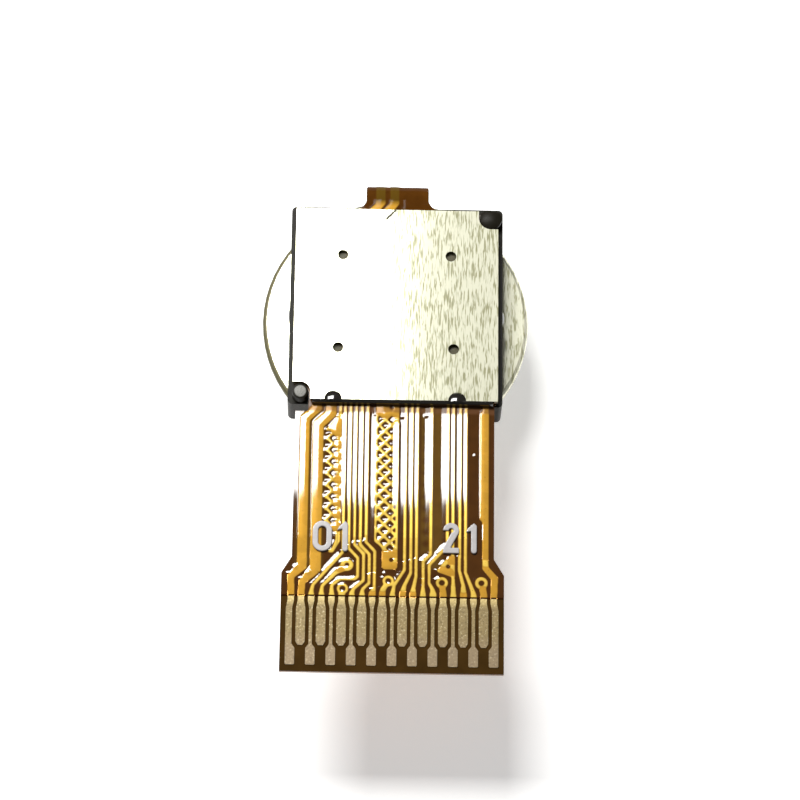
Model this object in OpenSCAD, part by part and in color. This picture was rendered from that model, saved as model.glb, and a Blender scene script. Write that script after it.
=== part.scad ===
// Fixed-focus camera module with a flat flexible circuit, lying lens side down.
// The origin is on the optical axis, at the front face of the lens tower. +Z runs from the lens
// to the back plate, +Y to the folded tail and -Y to the contacts.

/* [Lens holder] */
// Side of the square base
body_w = 6.5; // [6.5:0.1:7.5]
// Thickness of the square base along the optical axis
base_t = 1.29; // [1.2:0.01:2.5]
// Rounding of the four upright edges of the base
base_corner_r = 0.15; // [0.05:0.05:0.4]
// Outer diameter of the round lens tower
tower_d = 5.8; // [5.6:0.1:6.2]
// Length of the tower in front of the base
tower_len = 2.65; // [2.5:0.05:5]
// Bore of the tower, which takes the lens barrel
tower_bore_d = 4.8; // [4.7:0.05:5.2]
// Depth of that bore from the front of the tower
tower_bore_depth = 2.3; // [2.25:0.05:2.4]
// Distance of the corner posts from the optical axis, along X and along Y
post_offset = 2.87; // [2.8:0.01:2.9]
// Radius of the post shanks
post_r = 0.24; // [0.15:0.01:0.25]
// Radius of the melted head of the staked post
stake_head_r = 0.34; // [0.3:0.01:0.35]
// How far the posts stand proud of the back plate
post_proud = 0.06; // [0.02:0.01:0.2]

/* [Front disc] */
// Outer diameter of the disc
disc_d = 8.2; // [8:0.1:9]
// Thickness of the disc
disc_t = 0.25; // [0.15:0.01:0.4]
// Rounding of the disc's back edge
disc_edge_r = 0.12; // [0.05:0.01:0.14]
// Thickness of the adhesive film behind the disc
disc_film_t = 0.05; // [0.03:0.01:0.1]

/* [Back plate] */
// Width of the plate along X
plate_w = 6.2; // [6.1:0.05:6.4]
// Length of the plate along Y
plate_l = 6.25; // [6.1:0.05:6.4]
// Thickness of the plate
plate_t = 0.15; // [0.1:0.01:0.3]
// How far the plate's middle lies from the axis towards the contacts
plate_shift = 0.07; // [0:0.01:0.1]
// Diameter of the four witness holes
hole_d = 0.33; // [0.2:0.01:0.5]
// Spacing along X of the two holes on the tail side
tail_hole_spacing = 3.3; // [3:0.1:4]
// Spacing along X of the two holes on the contact side
contact_hole_spacing = 3.5; // [3:0.1:4]
// Spacing along Y of the two rows of holes
hole_row_spacing = 3.05; // [2.5:0.05:3.5]
// Thickness of the bonding film under the plate
plate_film_t = 0.05; // [0.03:0.01:0.1]
// Width of the epoxy bead along the plate's contact-side edge
bead_w = 0.1; // [0.05:0.01:0.15]
// Width of the four glue dots
glue_dot_w = 0.54; // [0.3:0.02:0.6]
// How far the glue dots stand out
glue_dot_sag = 0.07; // [0.03:0.01:0.1]
// Spacing along X of the two glue dots on the plate's edge
glue_dot_spacing = 3.74; // [2:0.02:4.5]

/* [Flexible circuit] */
// Thickness of the polyimide base film
film_t = 0.06; // [0.04:0.01:0.1]
// Thickness of each copper layer
copper_t = 0.02; // [0.015:0.005:0.035]
// Thickness of the cover film over the copper
cover_t = 0.03; // [0.02:0.01:0.05]
// Width of the straight neck
neck_w = 6; // [5.9:0.05:6.1]
// Pitch of the contacts
pitch = 0.3; // [0.3:0.01:0.33]
// Distance from the optical axis to the contact end
flex_reach = 11.65; // [11:0.05:20]
// Length of the bare contacts, with the margin at their end
contact_zone = 2.3; // [2.2:0.05:3]
// Margin between the contacts and the end of the film
end_margin = 0.18; // [0.1:0.01:0.3]
// Thickness of the stiffener under the contacts
stiffener_t = 0.12; // [0.08:0.01:0.2]
// Length of the stiffener
stiffener_len = 3.05; // [2.9:0.05:3.3]
// Height of the pin numbers along Y
digit_h = 0.95; // [0.6:0.05:1]
// Thickness of the printed pin numbers
digit_t = 0.02; // [0.01:0.005:0.03]
// Width of a printed nought
digit_w = 0.58; // [0.4:0.02:0.6]
// Stroke of the printed numbers
digit_stroke = 0.17; // [0.1:0.01:0.2]
// Distance from one digit of a number to the next
digit_step = 0.68; // [0.6:0.02:0.72]

/* [Folded tail] */
// Width of the tail
tail_w = 1.92; // [1.8:0.02:2.2]
// Fillet where the tail leaves the circuit's head
tail_fillet_r = 0.35; // [0.2:0.05:0.4]
// Distance from the holder's wall to the middle of the fold
fold_gap = 0.2; // [0.15:0.01:0.3]

/* [Sensor] */
// Width of the sensor die along X
die_w = 4.2; // [3.8:0.1:4.3]
// Length of the sensor die along Y
die_l = 4; // [3.6:0.1:4]
// Thickness of the sensor die
die_t = 0.25; // [0.15:0.01:0.3]
// Thickness of the die-attach adhesive
attach_t = 0.02; // [0.01:0.005:0.04]
// Thickness of the pixel array's colour filter and microlenses
array_t = 0.01; // [0.01:0.005:0.02]
// Diameter of the bond wires
wire_d = 0.03; // [0.02:0.005:0.04]
// Side of the pixel array along X
array_w = 3.2; // [2.4:0.1:3.4]
// Side of the pixel array along Y
array_l = 2.4; // [1.8:0.1:3]
// Room beside the die for the wires and their fingers
wire_room = 0.65; // [0.6:0.05:0.7]
// Room above and below the die for the capacitors
capacitor_room = 0.75; // [0.7:0.05:0.8]
// Side of the square infrared filter
filter_w = 4.6; // [4.4:0.05:4.7]
// Width of the ledge that the filter's edge sits on
filter_ledge = 0.3; // [0.2:0.05:0.5]
// Thickness of the infrared filter
filter_t = 0.21; // [0.15:0.01:0.3]
// Thickness of the filter's glue frame
filter_glue_t = 0.03; // [0.02:0.01:0.05]

/* [Lens barrel] */
// How far the barrel stands proud of the tower
barrel_proud = 0.3; // [0.2:0.05:0.5]
// Length of the barrel
barrel_len = 2.45; // [2.4:0.05:2.5]
// Bore that holds the lens elements
lens_d = 3.4; // [3.3:0.1:3.6]
// Thickness of the barrel's front wall
barrel_front_t = 0.5; // [0.4:0.05:0.55]
// Diameter of the aperture in the front wall
aperture_d = 1.7; // [1.64:0.02:2]
// Width of the thread-locking glue on the tower's front
lock_w = 0.22; // [0.1:0.02:0.3]

/* [Hidden] */

$fn = 64;
eps = 0.01;

// Clearances between pieces that fit in or around each other
barrel_clear = 0.02;
lens_clear = 0.01;
disc_clear = 0.05;
filter_clear = 0.05;
post_clear = 0.03;
edge_inset = 0.05;

// Levels along the optical axis, from the barrel's front rim to the back plate
rim_z = -barrel_proud;
tower_z = 0;
bore_end_z = tower_z + tower_bore_depth;
base_z = tower_z + tower_len;
disc_back_z = base_z - disc_film_t;
disc_z = disc_back_z - disc_t;
base_back_z = base_z + base_t;
film_z = base_back_z + cover_t + copper_t;
film_back_z = film_z + film_t;
copper_back_z = film_back_z + copper_t;
cover_back_z = copper_back_z + cover_t;
plate_z = cover_back_z + plate_film_t;
plate_back_z = plate_z + plate_t;

// Edges of the plate and of the circuit, seen along the optical axis
plate_low_y = -plate_shift - plate_l / 2;
plate_top_y = plate_l / 2 - plate_shift;
head_w = plate_w - 2 * edge_inset;
head_top_y = plate_l / 2 - plate_shift - edge_inset;
tip_y = -flex_reach;
cover_y = tip_y + contact_zone;
stiffener_y = tip_y + stiffener_len;

// The posts stand about the plate's middle, a little further out along Y than along X
post_stretch = 0.03;
notch_gap = 0.08;
function post_y(side) = -plate_shift + side * (post_offset + post_stretch);

// Cavity around the sensor, and the round light window in front of the filter
cavity_w = die_w + 2 * wire_room;
cavity_l = die_l + 2 * capacitor_room;
window_d = filter_w - 2 * filter_ledge;
filter_pocket_w = filter_w + 2 * filter_clear;

// Collar at the root of the tower, which centres the disc. It stands out by collar_reach, or by
// what the base leaves beside the disc's film where the tower is wide
collar_reach = 0.17;
film_edge = 0.05;
collar_room = (body_w - tower_d) / 2 - edge_inset - disc_clear - film_edge;
collar_z = disc_z - 0.1;
collar_d = tower_d + 2 * max(0.02, min(collar_reach, collar_room));

// Sensor side, from the film towards the lens
die_back_z = film_z - attach_t;
die_z = die_back_z - die_t;
shelf_z = bore_end_z + 0.55;
filter_z = shelf_z + filter_glue_t;
cavity_z = filter_z + filter_t + 0.02;

// Lens stack, from the front wall of the barrel towards the sensor
baffle_t = 0.02;
baffle_1_r = 0.75;
baffle_2_r = 1.1;
spacer_r = 1.15;
retainer_r = 1.35;
lens_1_t = 0.3;
lens_2_t = 0.25;
spacer_t = 0.15;
lens_3_t = 0.3;
lens_4_t = 0.4;
lens_1_z = rim_z + barrel_front_t;
baffle_1_z = lens_1_z + lens_1_t;
lens_2_z = baffle_1_z + baffle_t;
spacer_z = lens_2_z + lens_2_t;
lens_3_z = spacer_z + spacer_t;
baffle_2_z = lens_3_z + lens_3_t;
lens_4_z = baffle_2_z + baffle_t;
retainer_z = lens_4_z + lens_4_t;
retainer_t = 0.3;

barrel_r = tower_bore_d / 2 - barrel_clear;
lens_r = lens_d / 2 - lens_clear;

// Tail: outer radius of the fold, from the cover film on top to the bond on the disc
bond_t = 0.06;
fold_r = (cover_back_z - disc_back_z - bond_t) / 2;
fold_y = body_w / 2 + fold_gap;
fold_z = cover_back_z - fold_r;
tail_end_y = body_w / 2 + 0.02;

// ---- Routes of the copper tracks ----
// Each route belongs to one contact, counted from the left, and its points are [x, y, width].
// T is measured from the plate's edge and C from the edge of the cover film.
contact_count = 21;
function pin_x(k) = (k - (contact_count + 1) / 2) * pitch;
function T(dy) = plate_low_y + dy;
function C(dy) = cover_y + dy;
track_top_y = T(0.25);
lead_w = 0.2;
thin_w = 0.09;
tip_w = (contact_count + 1) * pitch;

// Ends a route on its contact
function lead_in(k, w) = [[pin_x(k), C(0.12), w], [pin_x(k), C(0), lead_w]];

ROUTES = [
    concat([[-2.35, track_top_y, 0.3], [-2.35, T(-0.22), 0.3], [-2.7, T(-0.57), 0.29],
        [-2.7, C(0.92), 0.29], [-3.02, C(0.6), lead_w]], lead_in(1, lead_w)),
    concat([[-1.92, track_top_y, 0.33], [-1.92, T(-0.38), 0.33], [-2.3, T(-0.75), 0.33],
        [-2.3, C(0.85), 0.33], [-2.68, C(0.43), lead_w]], lead_in(2, lead_w)),
    concat([[-1.49, track_top_y, thin_w], [-1.49, C(1.38), thin_w],
        [-2.36, C(0.34), thin_w]], lead_in(3, 0.14)),
    concat([[-1.42, C(0.93), 0.28], [-1.68, C(0.74), 0.12], [-2.08, C(0.32), thin_w]],
        lead_in(4, 0.14)),
    concat([[-1.32, track_top_y, thin_w], [-1.32, C(1.5), thin_w], [-1.04, C(1.2), thin_w],
        [-1.04, C(0.62), thin_w], [-1.12, C(0.55), thin_w], [-1.55, C(0.55), thin_w],
        [-1.8, C(0.34), thin_w]], lead_in(5, 0.14)),
    concat([[-1.48, C(0.2), 0.18]], lead_in(6, lead_w)),
    concat([[-1.15, track_top_y, thin_w], [-1.15, C(1.62), thin_w], [-0.87, C(1.32), thin_w],
        [-0.87, C(0.5), thin_w], [-1.15, C(0.24), thin_w]], lead_in(7, 0.14)),
    concat([[-0.98, track_top_y, thin_w], [-0.98, C(1.62), thin_w], [-0.7, C(1.32), thin_w],
        [-0.7, C(0.42), thin_w], [-0.88, C(0.24), thin_w]], lead_in(8, 0.14)),
    concat([[-0.81, track_top_y, thin_w], [-0.81, C(1.7), thin_w], [-0.54, C(1.42), thin_w],
        [-0.54, C(0.3), thin_w]], lead_in(9, lead_w)),
    concat([[-0.18, C(0.4), 0.14], [-0.28, C(0.24), 0.16]], lead_in(10, lead_w)),
    concat([[0.345, track_top_y, thin_w], [0.345, C(0.85), thin_w], [0.05, C(0.37), thin_w]],
        lead_in(11, 0.14)),
    concat([[0.53, track_top_y, thin_w], [0.53, C(0.75), thin_w], [0.35, C(0.37), 0.11]],
        lead_in(12, lead_w)),
    concat([[0.69, track_top_y, thin_w], [0.69, C(0.65), thin_w], [0.62, C(0.3), 0.12]],
        lead_in(13, lead_w)),
    concat([[1.115, track_top_y, thin_w], [1.115, C(1.35), thin_w], [0.9, C(1.13), thin_w],
        [0.9, C(0.35), thin_w]], lead_in(14, 0.16)),
    concat([[1.61, track_top_y, thin_w], [1.61, C(1.62), thin_w], [1.08, C(1.02), thin_w],
        [1.08, C(0.45), thin_w], [1.18, C(0.26), 0.12]], lead_in(15, lead_w)),
    concat([[1.47, C(0.42), 0.16]], lead_in(16, lead_w)),
    concat([[1.775, track_top_y, thin_w], [1.775, C(1.2), thin_w], [1.79, C(0.6), thin_w]],
        lead_in(17, 0.16)),
    concat([[1.975, track_top_y, thin_w], [1.975, C(0.85), thin_w], [2.09, C(0.4), 0.11]],
        lead_in(18, lead_w)),
    concat([[2.155, track_top_y, thin_w], [2.155, C(0.8), thin_w], [2.36, C(0.26), 0.12]],
        lead_in(19, 0.16)),
    concat([[2.65, C(0.42), 0.2]], lead_in(20, lead_w)),
    concat([[2.74, track_top_y, 0.18], [2.74, T(-0.25), 0.18], [2.7, T(-0.35), 0.27],
        [2.7, C(2.5), 0.27], [2.745, C(2.4), 0.18], [2.745, C(0.95), 0.18],
        [3.02, C(0.63), lead_w]], lead_in(21, lead_w))
];

// Via rings: [x, y, outer radius, hole radius]
RINGS = [[-1.36, C(0.98), 0.19, 0.07], [-1.48, C(0.24), 0.17, 0.09], [-0.13, C(0.5), 0.17, 0.09],
    [1.46, C(0.47), 0.18, 0.09], [2.63, C(0.48), 0.19, 0.09]];

// Diamond hatch of the two shielding strips
hatch_pitch = 0.37;
hatch_cell = 0.26;
hatch_top_y = T(-0.56);
strip_left = -0.57;
strip_right = 0.13;
strip_rail = 0.07;
strip_low_y = C(0.86);
guard_left = -2.06;
guard_right = -1.58;
guard_rail = 0.14;
guard_low_y = C(1.72);

// Joint directions and mitred outline of a route
function unit(v) = v / norm(v);
function xy(p) = [p[0], p[1]];
function heading(path, i) = unit(xy(path[i + 1]) - xy(path[i]));
function side_of(d) = [-d[1], d[0]];
function mitre(path, i) = let(n = len(path) - 1)
    i == 0 ? side_of(heading(path, 0))
    : i == n ? side_of(heading(path, n - 1))
    : let(a = side_of(heading(path, i - 1)), b = side_of(heading(path, i)), m = unit(a + b)) m / (m * a);
function flank(path, sign) =
    [for (i = [0:len(path) - 1]) xy(path[i]) + sign * path[i][2] / 2 * mitre(path, i)];
function reversed(list) = [for (i = [len(list) - 1:-1:0]) list[i]];
function outline(path) = concat(flank(path, 1), reversed(flank(path, -1)));

// ---- Shared shapes ----
module slab(z, t) {
    translate([0, 0, z]) linear_extrude(t) union() children();
}

module centred_rect(w, l) {
    square([w, l], center = true);
}

module rounded_square(w, r) {
    centred_rect(w - 2 * r, w);
    centred_rect(w, w - 2 * r);
    for (sx = [-1, 1], sy = [-1, 1]) translate([sx * (w / 2 - r), sy * (w / 2 - r)]) circle(r);
}

// Concave quarter fillet in the corner that opens towards +X and +Y
module fillet_corner(r) {
    difference() {
        translate([-eps, -eps]) square(r + eps);
        translate([r, r]) circle(r);
    }
}

// Room for the two corner posts, out to the corner of whatever is cut
module post_room(r, staked_r) {
    for (s = [-1, 1]) {
        q = s < 0 ? r : staked_r;
        translate([s * post_offset, post_y(s)]) scale([s, s]) {
            circle(q);
            translate([0, -q]) square([2 * q, 2 * q]);
            translate([-q, 0]) square([2 * q, 2 * q]);
        }
    }
}

// ---- Lens holder ----
module post(r, head_r, head_z) {
    top_z = plate_back_z + post_proud;
    dome_r = 0.7;
    translate([0, 0, base_back_z - eps]) cylinder(h = head_z - base_back_z + 2 * eps, r = r);
    intersection() {
        translate([0, 0, head_z]) cylinder(h = top_z - head_z + eps, r = head_r);
        translate([0, 0, top_z - dome_r]) sphere(dome_r, $fn = 96);
    }
}

module lens_holder() color("#17150f") {
    difference() {
        union() {
            slab(base_z, base_t) rounded_square(body_w, base_corner_r);
            translate([0, 0, tower_z]) cylinder(h = tower_len + eps, d = tower_d, $fn = 96);
            translate([0, 0, collar_z]) cylinder(h = base_z - collar_z + eps, d = collar_d, $fn = 96);
        }
        translate([0, 0, tower_z - eps]) cylinder(h = tower_bore_depth + eps, d = tower_bore_d, $fn = 96);
        translate([0, 0, tower_z]) cylinder(h = tower_len + base_t, d = window_d);
        slab(shelf_z, base_back_z - shelf_z + eps) centred_rect(filter_pocket_w, filter_pocket_w);
        slab(cavity_z, base_back_z - cavity_z + eps) centred_rect(cavity_w, cavity_l);
    }
    translate([-post_offset, post_y(-1), 0]) post(post_r, post_r, film_z);
    intersection() {
        translate([post_offset, post_y(1), 0]) post(post_r, stake_head_r, plate_z);
        translate([0, 0, base_back_z - 2 * eps]) cube([body_w, plate_top_y, 2 * plate_back_z - base_back_z]);
    }
}

// ---- Front disc and its adhesive ----
disc_bore_d = collar_d + 2 * disc_clear;
module front_disc() color("#cfcdbb") {
    r = disc_d / 2;
    e = disc_edge_r;
    difference() {
        union() {
            translate([0, 0, disc_z]) cylinder(h = disc_t - e, r = r, $fn = 128);
            translate([0, 0, disc_z]) cylinder(h = disc_t, r = r - e, $fn = 128);
            translate([0, 0, disc_back_z - e]) rotate_extrude($fn = 128) translate([r - e, 0]) circle(e);
        }
        translate([0, 0, disc_z - eps]) cylinder(h = disc_t + 2 * eps, d = disc_bore_d, $fn = 96);
    }
}

module disc_film() color("#2a2a2c") {
    slab(disc_back_z, disc_film_t) intersection() {
        difference() {
            centred_rect(body_w - 2 * edge_inset, body_w - 2 * edge_inset);
            circle(d = disc_bore_d, $fn = 96);
        }
        circle(r = disc_d / 2 - disc_edge_r - edge_inset, $fn = 128);
    }
}

// ---- Back plate, its film, the bead and the glue ----
plain_notch_r = post_r + notch_gap;
staked_notch_r = stake_head_r + post_clear;
module plate_outline(inset) {
    difference() {
        translate([0, -plate_shift]) centred_rect(plate_w - 2 * inset, plate_l - 2 * inset);
        post_room(plain_notch_r, staked_notch_r);
    }
}

module back_plate() color("#d6d4c0") {
    spacings = [contact_hole_spacing, tail_hole_spacing];
    slab(plate_z, plate_t) difference() {
        plate_outline(0);
        for (row = [0, 1], side = [-1, 1])
            translate([side * spacings[row] / 2, (row - 0.5) * hole_row_spacing]) circle(d = hole_d);
    }
}

module plate_film() color("#5b5638") {
    slab(cover_back_z, plate_film_t) plate_outline(edge_inset);
}

module edge_bead() color("#14110c") {
    h = plate_back_z - cover_back_z;
    soft = bead_w / 2;
    span = neck_w - 2 * edge_inset;
    left = -post_offset + plain_notch_r + edge_inset;
    translate([left, 0, 0]) rotate([90, 0, 90]) linear_extrude(span / 2 - left)
        translate([plate_low_y, cover_back_z]) polygon([[0, 0], [0, h], [-soft, h], [-bead_w, h - soft],
            [-bead_w, 0]]);
}

// Low dome of set glue, of a width and a height, with a skirt below its foot
module glue_cap(w, sag) {
    r = (w * w / 4 + sag * sag) / (2 * sag);
    levels = [-1, 0, 0.4, 0.75, 0.95, 1];
    hull() for (level = levels) translate([0, 0, level * sag - eps])
        cylinder(h = eps, r = sqrt(r * r - pow(r - sag + level * sag, 2)), $fn = 28);
}

module glue_dots() color("#0d0b08") {
    reach = glue_dot_w;
    side_y = -reach / 2;
    low_x = glue_dot_spacing / 2;
    // On the plate's edge and the bead
    for (s = [-1, 1]) intersection() {
        translate([s * low_x, plate_low_y, plate_back_z]) glue_cap(glue_dot_w, glue_dot_sag);
        translate([s * low_x - reach, plate_low_y - bead_w / 2, plate_back_z]) cube([2 * reach, reach, reach]);
    }
    // On the holder's side walls
    for (s = [-1, 1]) intersection() {
        translate([s * body_w / 2, side_y, base_back_z - reach / 2]) rotate([0, s * 90, 0])
            glue_cap(glue_dot_w, glue_dot_sag);
        translate([s * (body_w / 2 + reach / 2), side_y, base_back_z - reach])
            cube([reach, 2 * reach, 2 * reach], center = true);
    }
}

// ---- Flexible circuit ----
shoulder_low_y = cover_y + 0.72;
shoulder_high_y = cover_y + 1.22;
module flex_outline(low_y, high_y) {
    intersection() {
        union() {
            translate([0, head_top_y / 2 + plate_low_y / 2]) centred_rect(head_w, head_top_y - plate_low_y);
            polygon([[-neck_w / 2, plate_low_y + eps], [-neck_w / 2, shoulder_high_y],
                [-tip_w / 2, shoulder_low_y], [-tip_w / 2, tip_y], [tip_w / 2, tip_y],
                [tip_w / 2, shoulder_low_y], [neck_w / 2, shoulder_high_y],
                [neck_w / 2, plate_low_y + eps]]);
        }
        translate([-body_w, low_y]) square([2 * body_w, high_y - low_y]);
    }
}

// Flat root of the tail with its two fillets, out to the start of the fold
module tail_root() {
    translate([-tail_w / 2, head_top_y - eps]) square([tail_w, fold_y - head_top_y + eps]);
    for (s = [0, 1]) mirror([s, 0]) translate([tail_w / 2, head_top_y]) fillet_corner(tail_fillet_r);
}

// Half ring around the fold, between two radii, over a span along X
module fold_ring(x_low, x_high, r_in, r_out) {
    translate([0, fold_y, fold_z]) rotate([90, 0, 90]) translate([0, 0, x_low])
        rotate([0, 0, -90]) rotate_extrude(angle = 180, $fn = 96)
            translate([r_in, 0]) square([r_out - r_in, x_high - x_low]);
}

film_fold_r = fold_r - cover_t - copper_t;
module flex_film() color("#5a3216") {
    slab(film_z, film_t) difference() {
        union() {
            flex_outline(tip_y, head_top_y);
            tail_root();
        }
        post_room(post_r + post_clear, post_r + post_clear);
    }
    fold_ring(-tail_w / 2, tail_w / 2, film_fold_r - film_t, film_fold_r);
    slab(fold_z - film_fold_r, film_t)
        translate([-tail_w / 2, tail_end_y]) square([tail_w, fold_y - tail_end_y + eps]);
}

module diamond(size) {
    rotate(45) square(size / sqrt(2), center = true);
}

// Diamond openings in staggered columns inside a band
module hatch_cells(columns, top_y, low_y) {
    rows = floor((top_y - low_y) / hatch_pitch);
    for (i = [0:len(columns) - 1], k = [0:rows])
        translate([columns[i], top_y - hatch_pitch * (k + (i % 2) / 2)]) diamond(hatch_cell);
}

module shield_strip() {
    cell_right = strip_right - strip_rail;
    first = cell_right + 0.03 - 3 * hatch_pitch / 2;
    difference() {
        polygon([[strip_left, track_top_y], [strip_right, track_top_y], [strip_right, strip_low_y + 0.06],
            [strip_right - 0.06, strip_low_y], [-0.27, strip_low_y], [-0.33, strip_low_y + 0.06],
            [-0.33, C(1.5)], [strip_left, C(1.74)]]);
        intersection() {
            hatch_cells([for (i = [0:3]) first + i * hatch_pitch / 2], hatch_top_y, C(1.5));
            translate([strip_left + strip_rail, C(1.45)])
                square([cell_right - strip_left - strip_rail, hatch_top_y - C(1.45) + hatch_pitch / 2]);
        }
        translate([-0.1, T(-0.17)]) circle(0.07);
        translate([-0.05, C(1.16)]) circle(0.07);
    }
}

module guard_strip() {
    difference() {
        polygon([[guard_right - 0.1, track_top_y], [guard_right, track_top_y], [guard_right, guard_low_y],
            [-1.78, C(1.36)], [-1.92, C(1.36)], [-1.92, C(1.48)], [-1.82, C(1.48)],
            [guard_right - guard_rail, C(1.76)], [guard_right - guard_rail, guard_low_y + 0.25],
            [guard_left, guard_low_y + 0.55], [guard_left, T(-0.9)], [guard_right - 0.1, T(-0.42)]]);
        intersection() {
            hatch_cells([guard_left + 0.04, guard_left + 0.04 + hatch_pitch / 2], T(-1), guard_low_y + 0.8);
            translate([guard_left - eps, guard_low_y + 0.55])
                square([guard_right - guard_rail - guard_left + eps, T(-0.95) - guard_low_y - 0.55]);
        }
    }
}

module corner_pad() {
    difference() {
        polygon([[1.3, C(0.86)], [1.66, C(1.3)], [1.84, C(1.3)], [1.84, C(0.66)], [1.74, C(0.66)],
            [1.34, C(0.8)]]);
        translate([1.64, C(0.98)]) circle(0.07);
    }
}

module track_layer() {
    difference() {
        union() {
            for (route = ROUTES) polygon(outline(route));
            for (ring = RINGS) translate([ring[0], ring[1]]) circle(ring[2], $fn = 32);
            shield_strip();
            guard_strip();
            corner_pad();
        }
        for (ring = RINGS) translate([ring[0], ring[1]]) circle(ring[3], $fn = 24);
    }
}

module copper_tracks() color("#e0a23a") {
    slab(film_back_z, copper_t) difference() {
        track_layer();
        post_room(post_r + post_clear, post_r + post_clear);
    }
}

module coverlay() color("#8a5a22") {
    slab(film_back_z, copper_t) difference() {
        flex_outline(cover_y, head_top_y);
        track_layer();
        post_room(post_r + post_clear, post_r + post_clear);
        tail_track_roots();
    }
    slab(copper_back_z, cover_t) difference() {
        flex_outline(cover_y, head_top_y);
        post_room(post_r + post_clear, post_r + post_clear);
    }
}

// ---- Folded tail ----
tail_track_w = 0.29;
tail_track_x = [-0.52, -0.09];
tail_jog = 0.3;
tail_track_low_y = head_top_y - 0.2;
tail_pad_w = 0.36;
function tail_flank(x, side) = [[x - tail_jog + side * tail_pad_w / 2, tail_track_low_y],
    [x - tail_jog + side * tail_pad_w / 2, head_top_y], [x + side * tail_track_w / 2, fold_y - 0.1],
    [x + side * tail_track_w / 2, fold_y]];

module tail_track_roots() {
    for (x = tail_track_x) polygon(concat(tail_flank(x, -1), reversed(tail_flank(x, 1))));
}

module tail_tracks() color("#c98f3c") {
    slab(film_back_z, copper_t) tail_track_roots();
    for (x = tail_track_x) {
        fold_ring(x - tail_track_w / 2, x + tail_track_w / 2, film_fold_r, film_fold_r + copper_t);
        slab(fold_z - film_fold_r - copper_t, copper_t)
            translate([x - tail_track_w / 2, tail_end_y]) square([tail_track_w, fold_y - tail_end_y + eps]);
    }
}

module tail_cover() color("#6b3c18") {
    gap = copper_t;
    slab(film_back_z, copper_t) difference() {
        tail_root_beyond_head();
        tail_track_roots();
    }
    slab(copper_back_z, cover_t) tail_root_beyond_head();
    difference() {
        fold_ring(-tail_w / 2, tail_w / 2, film_fold_r, fold_r);
        for (x = tail_track_x)
            fold_ring(x - tail_track_w / 2, x + tail_track_w / 2, film_fold_r - gap, film_fold_r + copper_t);
    }
}

module tail_root_beyond_head() {
    intersection() {
        tail_root();
        translate([-body_w, head_top_y]) square([2 * body_w, fold_y - head_top_y]);
    }
}

module tail_bond() color("#8f8f88") {
    top_z = fold_z - film_fold_r - copper_t;
    slab(disc_back_z, top_z - disc_back_z)
        translate([-tail_w / 2 + edge_inset, tail_end_y])
            square([tail_w - 2 * edge_inset, fold_y - tail_end_y]);
}

// ---- Contacts ----
pad_w = 0.29;
pad_end_y = tip_y + end_margin;
inner_end_y = pad_end_y + 0.6;
pad_neck_y = cover_y - 0.15;
pad_full_y = cover_y - 0.38;
outer_wide_y = pad_end_y + 0.52;

module inner_pad() {
    h = pad_w / 2;
    polygon([[-lead_w / 2, cover_y], [lead_w / 2, cover_y], [lead_w / 2, pad_neck_y], [h, pad_full_y],
        [h, inner_end_y + 0.12], [h / 2, inner_end_y], [-h / 2, inner_end_y], [-h, inner_end_y + 0.12],
        [-h, pad_full_y], [-lead_w / 2, pad_neck_y]]);
}

module outer_pad(stem_left, stem_right) {
    h = pad_w / 2;
    polygon([[-lead_w / 2, cover_y], [lead_w / 2, cover_y], [lead_w / 2, pad_neck_y],
        [stem_right, pad_full_y], [stem_right, outer_wide_y + 0.12], [h, outer_wide_y],
        [h, pad_end_y + 0.03], [h - 0.03, pad_end_y], [0.03 - h, pad_end_y], [-h, pad_end_y + 0.03],
        [-h, outer_wide_y], [-stem_left, outer_wide_y + 0.12], [-stem_left, pad_full_y],
        [-lead_w / 2, pad_neck_y]]);
}

module contact_pads() color("#b5aa82") {
    stem = 0.055;
    slab(film_back_z, copper_t) for (k = [1:contact_count]) translate([pin_x(k), 0]) {
        if (k % 2 == 0) inner_pad();
        else outer_pad(k == 1 ? pad_w / 2 : stem, k == contact_count ? pad_w / 2 : stem);
    }
}

// ---- Pin numbers ----
digit_low_y = cover_y + 1.38;
digit_margin = 0.6;

module digit_0(w) {
    r = w / 2;
    s = digit_stroke;
    difference() {
        union() {
            translate([0, digit_h - r]) circle(r);
            translate([0, r]) circle(r);
            translate([-r, r]) square([w, digit_h - w]);
        }
        translate([0, digit_h - r]) circle(r - s);
        translate([0, r]) circle(r - s);
        translate([s - r, r]) square([w - 2 * s, digit_h - w]);
    }
}

module digit_1() {
    s = digit_stroke;
    translate([-s / 2, s / 2]) square([s, digit_h - s]);
    translate([0, s / 2]) circle(s / 2);
    polygon([[0, digit_h], [-0.02 - s, digit_h - s], [-0.07 - s, digit_h - 1.7 * s], [0, digit_h - 1.3 * s],
        [s / 2, digit_h - s / 2]]);
}

module digit_2(w) {
    r = w / 2;
    s = digit_stroke;
    translate([0, digit_h - r]) intersection() {
        difference() {
            circle(r);
            circle(r - s);
        }
        polygon([[0, 0], [-r, 0], [-r, r], [r, r], [r, -0.75 * r]]);
    }
    polygon([[0.02, digit_h - 1.2 * r], [0.8 * r, digit_h - 1.6 * r], [-0.1 * r, 0.9 * s],
        [0.02 - r, 0.3 * s], [0.02 - r, 1.2 * s]]);
    translate([-r, 0]) square([w, s]);
}

module pin_numbers() color("#bdb9b4") {
    two_w = digit_w - 0.1;
    slab(cover_back_z, digit_t) translate([0, digit_low_y]) {
        translate([-neck_w / 2 + digit_margin + digit_w / 2, 0]) digit_0(digit_w);
        translate([-neck_w / 2 + digit_margin + digit_w / 2 + digit_step, 0]) digit_1();
        translate([neck_w / 2 - digit_margin - digit_step, 0]) digit_2(two_w);
        translate([neck_w / 2 - digit_margin, 0]) digit_1();
    }
}

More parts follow.
